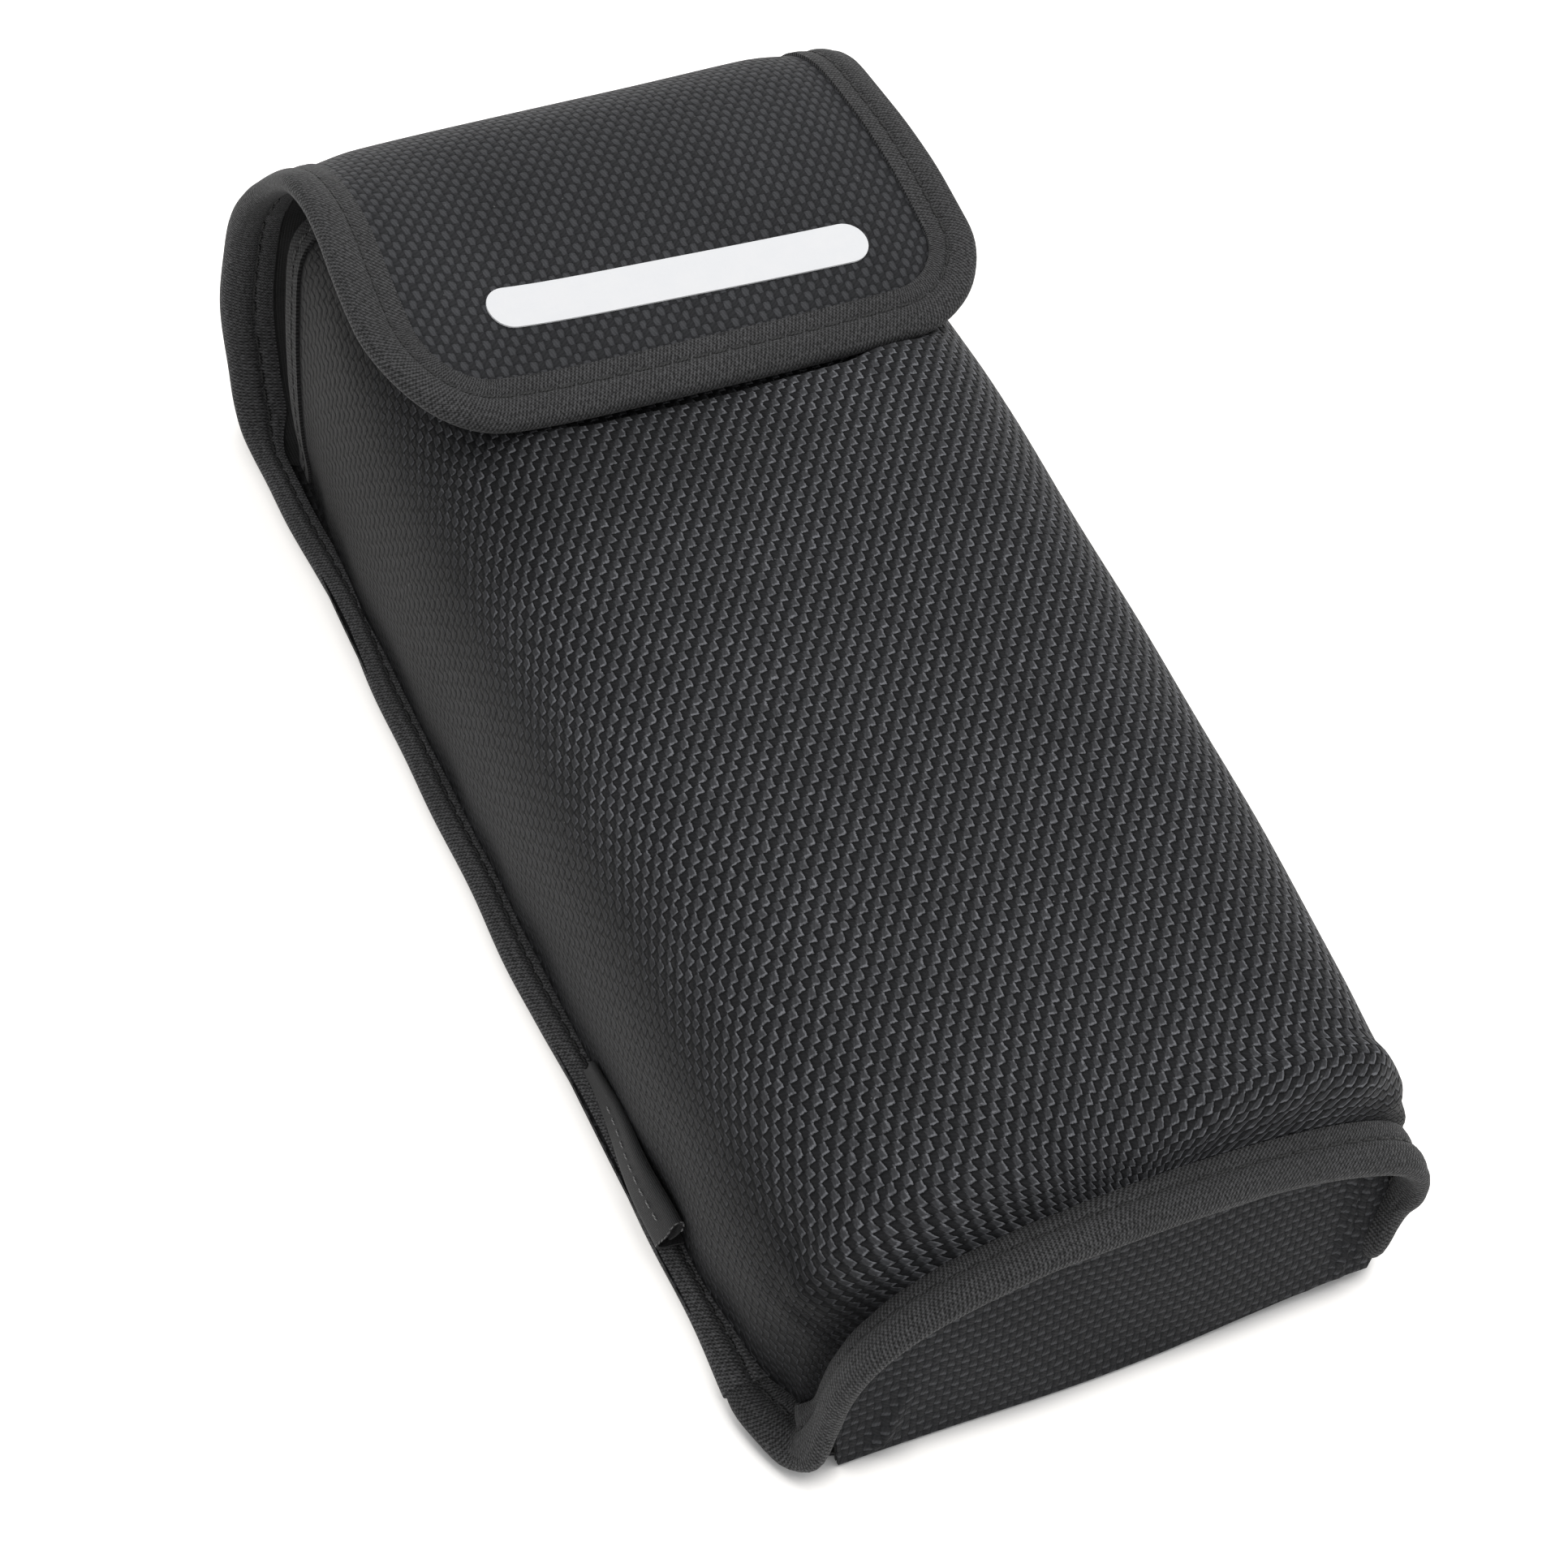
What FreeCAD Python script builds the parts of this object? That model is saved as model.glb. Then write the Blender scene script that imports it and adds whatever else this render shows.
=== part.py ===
import FreeCAD, Part
import os
import re
import Sketcher

# A padded, fire-resistant fabric pouch for a battery pack, lying on its back with its flap closed.
#
# One long strip of cloth makes the end panel, the back, the bridge over the mouth and the flap.
# The front is a second panel, bent down at both sides and sewn to the strip along them and along
# the round end.  Every panel is cover cloth, padding and a glass-cloth lining, and every edge is
# bound with folded tape.  The strip bends at three sewn folds, which are the hinges of the flap.
#
# Frame: +Z up from the floor under the back, +Y from the closed end to the mouth, X across.
# The origin is under the middle of the whole pouch.  Lengths are millimetres, angles degrees.

SIZES = [
    # the pouch as a whole
    ("bag_width", 100.0, "across the side bindings"),
    ("back_length", 202.0, "closed end to the first fold of the flap"),
    ("mouth_height", 54.0, "floor to the top of the front panel at the mouth"),
    ("shoulder_height", 47.5, "floor to the top of the front panel at the closed end"),
    ("corner_radius", 20.0, "round shoulder between the front panel and its sides"),
    ("seam_flange", 5.0, "how far the bound side seams stand out of the walls"),
    ("shoulder_run", 9.0, "length over which the front rises from the rim to the shoulder"),
    ("crest_run", 64.0, "length over which the front rises from the shoulder to full height"),
    # layers
    ("cover_thick", 0.8, "woven cover cloth"),
    ("padding_thick", 2.6, "foam and wadding"),
    ("lining_thick", 0.6, "glass-cloth lining"),
    ("tape_thick", 0.5, "binding tape, one layer"),
    ("tape_cover", 8.0, "how much of each face the folded tape covers"),
    ("thread_width", 0.6, "sewing thread, laid width"),
    ("thread_height", 0.25, "sewing thread, laid height"),
    ("stitch_inset", 4.0, "outer edge of a binding to its stitch line"),
    # rim round the closed end
    ("rim_height", 41.5, "floor to the top of the bound end seam"),
    ("rim_depth", 8.0, "how far the bound end seam stands out of the end panel's top"),
    # mouth
    ("mouth_foot", 6.7, "mouth edge to the first fold, at the floor"),
    ("mouth_jut", 1.5, "how far the mouth edge passes the first fold at mid-height"),
    ("mouth_jut_height", 33.0, "height of the mouth edge's furthest point"),
    ("mouth_brow", 6.5, "mouth edge to the first fold, at the top"),
    ("mouth_lift", 4.6, "floor to the ends of the mouth binding"),
    # bridge and flap
    ("bridge_reach", 11.5, "first fold to the middle fold, along the pouch"),
    ("knee_height", 29.0, "floor to the middle fold"),
    ("flap_setback", 4.0, "how far the last fold lies behind the first"),
    ("flap_length", 58.0, "last fold to the free edge of the flap"),
    ("flap_rise", 3.0, "how much higher the last fold is than the free edge"),
    ("flap_radius", 16.0, "round corners of the flap"),
    # fastening
    ("patch_length", 48.0, "hook and loop patches, across the pouch"),
    ("patch_depth", 20.0, "hook and loop patches, along the pouch"),
    ("patch_thick", 1.0, "hook or loop patch"),
    ("patch_gap", 0.3, "between the hook and the loop patch"),
    ("patch_setback", 10.0, "free edge of the flap to the hook patch"),
    ("patch_seam", 1.5, "edge of a patch to its stitch line"),
    # label and tag
    ("label_length", 60.0, "printed label on the flap"),
    ("label_height", 9.5, "printed label on the flap"),
    ("label_thick", 0.4, "printed label on the flap, let into the cover"),
    ("label_setback", 13.0, "free edge of the flap to the label"),
    ("tag_length", 31.0, "ribbon loop, along the seam"),
    ("tag_width", 8.0, "ribbon loop, out of the seam"),
    ("tag_thick", 1.2, "ribbon loop, folded"),
    ("tag_lean", 68.0, "angle of the ribbon loop above the seam"),
    ("tag_offset", 37.0, "closed end to the ribbon loop"),
    ("tag_inset", 3.8, "side of the pouch to the foot of the ribbon loop"),
    # clearances
    ("fold_gap", 0.15, "each panel end to the fold line"),
    ("fit_gap", 0.3, "between loose layers inside the pouch"),
]
ALIASES = {name for name, _, _ in SIZES}

# Sizes that follow from the sheet, written as formulas of its aliases.
HALF = "(bag_width / 2)"
WALL = "(bag_width / 2 - seam_flange)"
INSIDE = "(cover_thick + padding_thick + lining_thick)"
PANEL_COVER = "(tape_thick + cover_thick)"
PANEL = "(tape_thick + cover_thick + padding_thick + lining_thick)"
SEAM = "(2 * tape_thick + 2 * cover_thick)"
EDGE = "(2 * tape_thick + cover_thick + lining_thick)"
END_Y = "(-(back_length + bridge_reach) / 2)"
FOLD_Y = "((back_length - bridge_reach) / 2)"
RIM_Y = f"({END_Y} + rim_depth)"
SHOULDER_Y = f"({RIM_Y} + shoulder_run)"
CREST_Y = f"({SHOULDER_Y} + crest_run)"
RIM_WALL = f"({WALL} - tape_thick)"
RIM_CROWN = "(rim_height - tape_thick)"
RIM_RADIUS = "(corner_radius - tape_thick)"
PATCH_STACK = "(2 * patch_thick + patch_gap)"
LIP_Z = f"(mouth_height + {PATCH_STACK} + {PANEL})"
LAST_Z = f"({LIP_Z} + flap_rise)"
LAST_Y = f"({FOLD_Y} - flap_setback)"
KNEE_Y = f"({FOLD_Y} + bridge_reach)"
LOWER_TURN = "atan2(knee_height; bridge_reach)"
UPPER_TURN = f"atan2({LAST_Z} - knee_height; -(bridge_reach + flap_setback))"
FLAP_TURN = "(180 + asin(flap_rise / flap_length) / 1 deg)"
LOWER_LENGTH = "hypot(bridge_reach; knee_height)"
UPPER_LENGTH = f"hypot(bridge_reach + flap_setback; {LAST_Z} - knee_height)"
FIRST_BEND = f"({LOWER_TURN} / 1 deg)"
KNEE_BEND = f"(({UPPER_TURN} - {LOWER_TURN}) / 1 deg)"
LAST_BEND = f"({FLAP_TURN} - {UPPER_TURN} / 1 deg)"
FAR = "(bag_width + back_length)"

doc = FreeCAD.newDocument("BatteryPouch")
sheet = doc.addObject("Spreadsheet::Sheet", "Sizes")
for row, (alias, number, note) in enumerate(SIZES, start=1):
    sheet.set(f"A{row}", note)
    sheet.set(f"B{row}", str(number))
    sheet.setAlias(f"B{row}", alias)
doc.recompute()


# ---------------------------------------------------------------- helpers

def formula(text):
    """A size formula with the sheet's name put before each of its aliases."""
    return re.sub(r"[a-z_]+", lambda m: f"Sizes.{m[0]}" if m[0] in ALIASES else m[0], str(text))


def value(text):
    """The number that a size formula gives now."""
    found = sheet.evalExpression(formula(text))
    return float(getattr(found, "Value", found))


def bind(item, prop, text):
    item.setExpression(prop, formula(text))


def new_body(name, turn="0", y="0", z="0"):
    """A body whose own XY plane is turned about X and moved to a place in the Y-Z plane."""
    body = doc.addObject("PartDesign::Body", name)
    body.Placement = FreeCAD.Placement(FreeCAD.Vector(), FreeCAD.Rotation(FreeCAD.Vector(1, 0, 0), 90))
    bind(body, "Placement.Rotation.Angle", turn)
    bind(body, "Placement.Base.y", y)
    bind(body, "Placement.Base.z", z)
    return body


def new_sketch(body, role, level):
    """A sketch on one of the body's own planes, moved along that plane's normal to a level."""
    sketch = body.newObject("Sketcher::SketchObject", body.Name + "_sketch")
    plane = next(item for item in body.Origin.OriginFeatures if item.Role == role)
    sketch.AttachmentSupport = [(plane, "")]
    sketch.MapMode = "FlatFace"
    bind(sketch, "AttachmentOffset.Base.z", level)
    return sketch


def fix(sketch, kind, text, *where):
    """Add a measured constraint and bind it to its formula."""
    index = sketch.addConstraint(Sketcher.Constraint(kind, *where, value(text)))
    bind(sketch, f"Constraints[{index}]", text)


def polygon_sketch(body, role, level, corners):
    """A closed outline of straight lines through corners given as pairs of formulas."""
    sketch = new_sketch(body, role, level)
    points = [FreeCAD.Vector(value(across), value(up), 0) for across, up in corners]
    count = len(points)
    for i in range(count):
        sketch.addGeometry(Part.LineSegment(points[i], points[(i + 1) % count]))
    for i in range(count):
        sketch.addConstraint(Sketcher.Constraint("Coincident", i, 2, (i + 1) % count, 1))
    for i, (across, up) in enumerate(corners):
        fix(sketch, "DistanceX", across, -1, 1, i, 1)
        fix(sketch, "DistanceY", up, -1, 1, i, 1)
    return sketch


def arch_sketch(body, level, half, foot, crown, radius):
    """A closed arch: two straight legs, two round shoulders and a flat crown."""
    sketch = new_sketch(body, "XY_Plane", level)
    side, low, top, bend = value(half), value(foot), value(crown), value(radius)
    left, right = bend - side, side - bend
    shoulder = top - bend
    turn = 0.5 ** 0.5 * bend
    outline = [
        Part.LineSegment(FreeCAD.Vector(side, low, 0), FreeCAD.Vector(side, shoulder, 0)),
        Part.Arc(FreeCAD.Vector(side, shoulder, 0),
                 FreeCAD.Vector(right + turn, shoulder + turn, 0),
                 FreeCAD.Vector(right, top, 0)),
        Part.LineSegment(FreeCAD.Vector(right, top, 0), FreeCAD.Vector(left, top, 0)),
        Part.Arc(FreeCAD.Vector(left, top, 0),
                 FreeCAD.Vector(left - turn, shoulder + turn, 0),
                 FreeCAD.Vector(-side, shoulder, 0)),
        Part.LineSegment(FreeCAD.Vector(-side, shoulder, 0), FreeCAD.Vector(-side, low, 0)),
        Part.LineSegment(FreeCAD.Vector(-side, low, 0), FreeCAD.Vector(side, low, 0)),
    ]
    for piece in outline:
        sketch.addGeometry(piece)
    for first in range(4):
        sketch.addConstraint(Sketcher.Constraint("Tangent", first, 2, first + 1, 1))
    for first in (4, 5):
        sketch.addConstraint(Sketcher.Constraint("Coincident", first, 2, (first + 1) % 6, 1))
    for upright in (0, 4):
        sketch.addConstraint(Sketcher.Constraint("Vertical", upright))
    for level_line in (2, 5):
        sketch.addConstraint(Sketcher.Constraint("Horizontal", level_line))
    sketch.addConstraint(Sketcher.Constraint("Equal", 1, 3))
    fix(sketch, "Radius", radius, 1)
    fix(sketch, "DistanceX", half, -1, 1, 5, 2)
    fix(sketch, "DistanceX", f"-({half})", -1, 1, 5, 1)
    fix(sketch, "DistanceY", foot, -1, 1, 5, 1)
    fix(sketch, "DistanceY", crown, -1, 1, 2, 1)
    return sketch


def pad(body, sketch, length):
    """Add the sketch's outline, raised along its normal."""
    feature = body.newObject("PartDesign::Pad", body.Name + "_pad")
    feature.Profile = sketch
    bind(feature, "Length", length)
    return body


def pocket(body, sketch, length):
    """Cut the sketch's outline out of the body, down against the sketch's normal."""
    feature = body.newObject("PartDesign::Pocket", body.Name + "_pocket")
    feature.Profile = sketch
    bind(feature, "Length", length)
    return body


def pad_arch(body, low, high, half, foot, crown, radius):
    return pad(body, arch_sketch(body, low, half, foot, crown, radius), f"{high} - ({low})")


def pocket_arch(body, low, high, half, foot, crown, radius):
    return pocket(body, arch_sketch(body, high, half, foot, crown, radius), f"{high} - ({low})")


def tunnel(name, start, end, half, foot, crown, radius):
    """A solid arch standing on its legs and running along the pouch from start to end."""
    body = new_body(name, turn="90")
    return pad_arch(body, f"-({end})", f"-({start})", half, foot, crown, radius)


def front_form(name, inset, foot=PANEL_COVER):
    """The swollen form of the front panel, made smaller all round by an inset."""
    body = new_body(name, turn="90")
    stations = [
        (RIM_Y, RIM_WALL, RIM_CROWN, RIM_RADIUS),
        (SHOULDER_Y, WALL, "shoulder_height", "corner_radius"),
        (CREST_Y, WALL, "mouth_height", "corner_radius"),
        (KNEE_Y, WALL, "mouth_height", "corner_radius"),
    ]
    outlines = [arch_sketch(body, f"-{y}", f"{half} - {inset}", foot, f"{crown} - {inset}",
                            f"{radius} - {inset}") for y, half, crown, radius in stations]
    loft = body.newObject("PartDesign::AdditiveLoft", name + "_loft")
    loft.Profile = outlines[0]
    loft.Sections = outlines[1:]
    loft.Ruled = True
    return body


def side_form(name, corners, low=f"-{FAR}", high=FAR):
    """A block with an outline seen from the side, running across the pouch from low to high."""
    body = new_body(name)
    return pad(body, polygon_sketch(body, "YZ_Plane", low, corners), f"{high} - ({low})")


def before_mouth(name, shift):
    """Everything on the closed side of the mouth edge, with that edge shifted along the pouch."""
    corners = [
        (f"{END_Y} - {FAR}", f"-{PANEL}"),
        (f"{FOLD_Y} - mouth_foot + {shift}", f"-{PANEL}"),
        (f"{FOLD_Y} - mouth_foot + {shift}", "0"),
        (f"{FOLD_Y} + mouth_jut + {shift}", "mouth_jut_height"),
        (f"{FOLD_Y} - mouth_brow + {shift}", "mouth_height"),
        (f"{FOLD_Y} - mouth_brow + {shift}", "2 * mouth_height"),
        (f"{END_Y} - {FAR}", "2 * mouth_height"),
    ]
    return side_form(name, corners)


def cut(name, base, tool):
    feature = doc.addObject("Part::Cut", name)
    feature.Base = base
    feature.Tool = tool
    return feature


def common(name, *items):
    feature = doc.addObject("Part::MultiCommon", name)
    feature.Shapes = list(items)
    return feature


def fuse(name, *items):
    feature = doc.addObject("Part::MultiFuse", name)
    feature.Shapes = list(items)
    feature.Refine = True
    return feature


nodes = []


def keep(item, label):
    """Name a finished sub-part; its label becomes its file's name."""
    item.Label = label
    nodes.append(item)
    return item


# ---------------------------------------------------------------- straight panels of the strip

def panel_slice(body, low_x, high_x, low, high, length, bend_before, bend_after):
    """One slice of a panel between two depths, mitred at both folds so that the folds can close."""
    def start(depth):
        return f"fold_gap + ({depth}) * tan(({bend_before}) / 2 * 1 deg)"

    def end(depth):
        return f"{length} - fold_gap - ({depth}) * tan(({bend_after}) / 2 * 1 deg)"

    corners = [(start(low), low), (end(low), low), (end(high), high), (start(high), high)]
    return pad(body, polygon_sketch(body, "YZ_Plane", low_x, corners), f"{high_x} - ({low_x})")


def bridge_panel(part, fold, turn, length, bend_before, bend_after):
    """Cover, padding, lining and two bindings of one straight panel between two folds."""
    fold_y, fold_z = fold
    under = f"({HALF} - tape_cover)"
    cloth = f"({HALF} - tape_thick)"
    fill = f"({under} - lining_thick)"
    lip_top = f"({PANEL_COVER} + lining_thick)"
    fill_top = f"({PANEL_COVER} + padding_thick)"
    layers = {
        "cover": [
            (f"-{under}", under, "0", "tape_thick"),
            (f"-{cloth}", cloth, "tape_thick", PANEL_COVER),
        ],
        "padding": [(f"-{fill}", fill, PANEL_COVER, fill_top)],
        "lining": [
            (f"-{cloth}", f"-{fill}", PANEL_COVER, lip_top),
            (fill, cloth, PANEL_COVER, lip_top),
            (f"-{under}", f"-{fill}", lip_top, fill_top),
            (fill, under, lip_top, fill_top),
            (f"-{under}", under, fill_top, PANEL),
        ],
        "left_binding": [
            (f"-{HALF}", f"-{under}", "0", "tape_thick"),
            (f"-{HALF}", f"-{cloth}", "tape_thick", lip_top),
            (f"-{HALF}", f"-{under}", lip_top, EDGE),
        ],
        "right_binding": [
            (under, HALF, "0", "tape_thick"),
            (cloth, HALF, "tape_thick", lip_top),
            (under, HALF, lip_top, EDGE),
        ],
    }
    for layer, slices in layers.items():
        body = new_body(f"{part}_{layer}", turn, fold_y, fold_z)
        for low_x, high_x, low, high in slices:
            panel_slice(body, low_x, high_x, low, high, length, bend_before, bend_after)
        keep(body, f"{part}_{layer}")


# ---------------------------------------------------------------- back of the pouch

def back_panel():
    """The part of the strip that lies on the floor, from the closed end to the first fold."""
    under = f"({HALF} - tape_cover)"
    cloth = f"({HALF} - tape_thick)"
    fill = f"({RIM_WALL} - {INSIDE} - fit_gap)"
    lean = f"((rim_depth - {PANEL_COVER}) / ({RIM_CROWN} - {PANEL_COVER}))"
    fill_start = f"({END_Y} + {PANEL} + {lean} * (padding_thick + lining_thick) + fit_gap)"

    def back_slice(body, low_x, high_x, low, high, start=END_Y):
        end_low = f"{FOLD_Y} - fold_gap - ({low}) * tan({FIRST_BEND} / 2 * 1 deg)"
        end_high = f"{FOLD_Y} - fold_gap - ({high}) * tan({FIRST_BEND} / 2 * 1 deg)"
        corners = [(start, low), (end_low, low), (end_high, high), (start, high)]
        pad(body, polygon_sketch(body, "YZ_Plane", low_x, corners), f"{high_x} - ({low_x})")

    cover = keep(new_body("back_cover"), "back_cover")
    back_slice(cover, f"-{under}", under, "0", "tape_thick")
    back_slice(cover, f"-{cloth}", cloth, "tape_thick", PANEL_COVER)

    padding = keep(new_body("back_padding"), "back_padding")
    padding_top = f"({PANEL_COVER} + padding_thick)"
    back_slice(padding, f"-{fill}", fill, PANEL_COVER, padding_top, fill_start)

    lining = keep(new_body("back_lining"), "back_lining")
    back_slice(lining, f"-{fill}", fill, padding_top, PANEL, fill_start)

    cloth_top = f"({SEAM} - tape_thick)"
    crease = f"({WALL} + tape_thick)"
    stitch_near = f"({HALF} - stitch_inset - thread_width / 2)"
    stitch_far = f"({HALF} - stitch_inset + thread_width / 2)"
    for side, sign in (("left", "-"), ("right", "")):
        binding = keep(new_body(f"{side}_seam_binding"), f"{side}_seam_binding")
        stitching = keep(new_body(f"{side}_seam_stitching"), f"{side}_seam_stitching")
        for body, near, far, low, high in (
            (binding, under, HALF, "0", "tape_thick"),
            (binding, cloth, HALF, "tape_thick", cloth_top),
            (binding, crease, HALF, cloth_top, SEAM),
            (stitching, stitch_near, stitch_far, SEAM, f"({SEAM} + thread_height)"),
        ):
            low_x, high_x = (f"-{far}", f"-{near}") if sign else (near, far)
            back_slice(body, low_x, high_x, low, high)


# ---------------------------------------------------------------- front panel and its mouth

def front_panel():
    """Cover, padding and lining of the panel that makes the top and both sides."""
    edge = before_mouth("front_mouth_edge", "0")
    depths = ["0", "cover_thick", "(cover_thick + padding_thick)", INSIDE]
    forms = [front_form(f"front_form_{i}", depth) for i, depth in enumerate(depths)]

    shell = common("front_cover_shell", cut("front_cover_hollow", forms[0], forms[1]), edge)
    rim = tunnel("front_rim", f"{END_Y} + tape_thick", RIM_Y, RIM_WALL, PANEL_COVER, RIM_CROWN, RIM_RADIUS)
    pocket_arch(rim, f"-{RIM_Y}", f"-({END_Y} + tape_thick)", f"{RIM_WALL} - cover_thick",
                f"{PANEL_COVER} - cover_thick", f"{RIM_CROWN} - cover_thick", f"{RIM_RADIUS} - cover_thick")
    lips = []
    lip_top = f"({SEAM} - tape_thick)"
    lip_corners = [
        (f"{END_Y} + tape_thick", PANEL_COVER),
        (f"{FOLD_Y} - mouth_foot", PANEL_COVER),
        (f"{FOLD_Y} - mouth_foot", lip_top),
        (f"{END_Y} + tape_thick", lip_top),
    ]
    inner = f"({WALL} - cover_thick)"
    outer = f"({HALF} - tape_thick)"
    lips.append(side_form("front_lip_left", lip_corners, f"-{outer}", f"-{inner}"))
    lips.append(side_form("front_lip_right", lip_corners, inner, outer))
    keep(fuse("front_cover", shell, rim, *lips), "front_cover")

    padding = cut("front_padding_hollow", forms[1], forms[2])
    keep(common("front_padding", padding, edge), "front_padding")
    lining = cut("front_lining_hollow", forms[2], forms[3])
    keep(common("front_lining", lining, edge), "front_lining")


def mouth_tunnel(name, grow):
    """The front panel's section near the mouth, made larger all round."""
    return tunnel(name, CREST_Y, f"{KNEE_Y} + tape_thick", f"{WALL} + {grow}", "mouth_lift",
                  f"mouth_height + {grow}", f"corner_radius + {grow}")


def mouth_trim():
    """The tape folded over the mouth edge, and its stitch line."""
    band = cut("mouth_band", mouth_tunnel("mouth_outside", "tape_thick"),
               mouth_tunnel("mouth_inside", f"(-{INSIDE} - tape_thick)"))
    zone = cut("mouth_zone", before_mouth("mouth_over", "tape_thick"),
               before_mouth("mouth_behind", "(-tape_cover)"))
    wall = cut("mouth_wall", mouth_tunnel("mouth_wall_outside", "0"),
               mouth_tunnel("mouth_wall_inside", f"(-{INSIDE})"))
    cloth = common("mouth_cloth", wall, before_mouth("mouth_cloth_edge", "0"))
    keep(cut("mouth_binding", common("mouth_tape", band, zone), cloth), "mouth_binding")

    thread = cut("mouth_thread", mouth_tunnel("mouth_thread_outside", "(tape_thick + thread_height)"),
                 mouth_tunnel("mouth_thread_inside", "tape_thick"))
    line = cut("mouth_stitch_line",
               before_mouth("mouth_stitch_near", "(thread_width / 2 - stitch_inset)"),
               before_mouth("mouth_stitch_far", "(-thread_width / 2 - stitch_inset)"))
    keep(common("mouth_stitching", thread, line), "mouth_stitching")


# ---------------------------------------------------------------- closed end

def end_panel():
    """The end panel, leaning back inside the rim, and the rim's tape and stitch line."""
    outer_foot = f"({END_Y} + tape_thick)"
    outer_top = f"({RIM_Y} - cover_thick)"

    def end_slab(name, near, far):
        corners = [
            (f"{outer_foot} + {near}", PANEL_COVER),
            (f"{outer_foot} + {far}", PANEL_COVER),
            (f"{outer_top} + {far}", RIM_CROWN),
            (f"{outer_top} + {near}", RIM_CROWN),
        ]
        return side_form(name, corners)

    def rim_tunnel(name, inset, start, end, foot=PANEL_COVER):
        return tunnel(name, start, end, f"{RIM_WALL} - {inset}", foot, f"{RIM_CROWN} - {inset}",
                      f"{RIM_RADIUS} - {inset}")

    inside_end = f"({RIM_Y} + 2 * {INSIDE})"
    face = common("end_face", end_slab("end_cover_slab", "0", "cover_thick"),
                  rim_tunnel("end_cover_limit", "cover_thick", END_Y, inside_end))
    lip = cut("end_lip", rim_tunnel("end_lip_outside", "cover_thick", outer_foot, RIM_Y),
              rim_tunnel("end_lip_inside", "2 * cover_thick", END_Y, inside_end, "tape_thick"))
    behind = side_form("end_behind", [
        (outer_foot, PANEL_COVER),
        (inside_end, PANEL_COVER),
        (inside_end, RIM_CROWN),
        (outer_top, RIM_CROWN),
    ])
    keep(fuse("end_cover", face, cut("end_lip_clear", lip, behind)), "end_cover")

    clear = f"({INSIDE} + fit_gap)"
    for layer, near, far in (
        ("padding", "cover_thick", "(cover_thick + padding_thick)"),
        ("lining", "(cover_thick + padding_thick)", INSIDE),
    ):
        slab = end_slab(f"end_{layer}_slab", near, far)
        limit = rim_tunnel(f"end_{layer}_limit", clear, END_Y, inside_end)
        keep(common(f"end_{layer}", slab, limit), f"end_{layer}")

    foot = f"({SEAM} - tape_thick)"
    tape = new_body("rim_tape", turn="90")
    sizes = (RIM_WALL, RIM_CROWN, RIM_RADIUS)

    def ring(feature, start, end, inset, low=foot):
        half, crown, radius = (f"{size} - {inset}" for size in sizes)
        feature(tape, f"-({end})", f"-({start})", half, low, crown, radius)

    ring(pad_arch, END_Y, RIM_Y, "(-tape_thick)")
    ring(pocket_arch, outer_foot, RIM_Y, "0", "0")
    ring(pad_arch, outer_foot, RIM_Y, "(2 * cover_thick)")
    ring(pocket_arch, END_Y, RIM_Y, "(2 * cover_thick + tape_thick)", "0")
    core = rim_tunnel("end_core", "2 * cover_thick", END_Y, inside_end, "0")
    keep(cut("end_seam_binding", tape, common("end_behind_core", behind, core)), "end_seam_binding")

    thread = new_body("end_thread", turn="90")
    near = f"({END_Y} + stitch_inset - thread_width / 2)"
    far = f"({END_Y} + stitch_inset + thread_width / 2)"
    thread_foot = f"({SEAM} + thread_height + fit_gap)"
    for feature, grow, low in (
        (pad_arch, "(tape_thick + thread_height)", thread_foot),
        (pocket_arch, "tape_thick", "0"),
    ):
        half, crown, radius = (f"{size} + {grow}" for size in sizes)
        feature(thread, f"-{far}", f"-{near}", half, low, crown, radius)
    keep(thread, "end_seam_stitching")


# ---------------------------------------------------------------- flap

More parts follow.
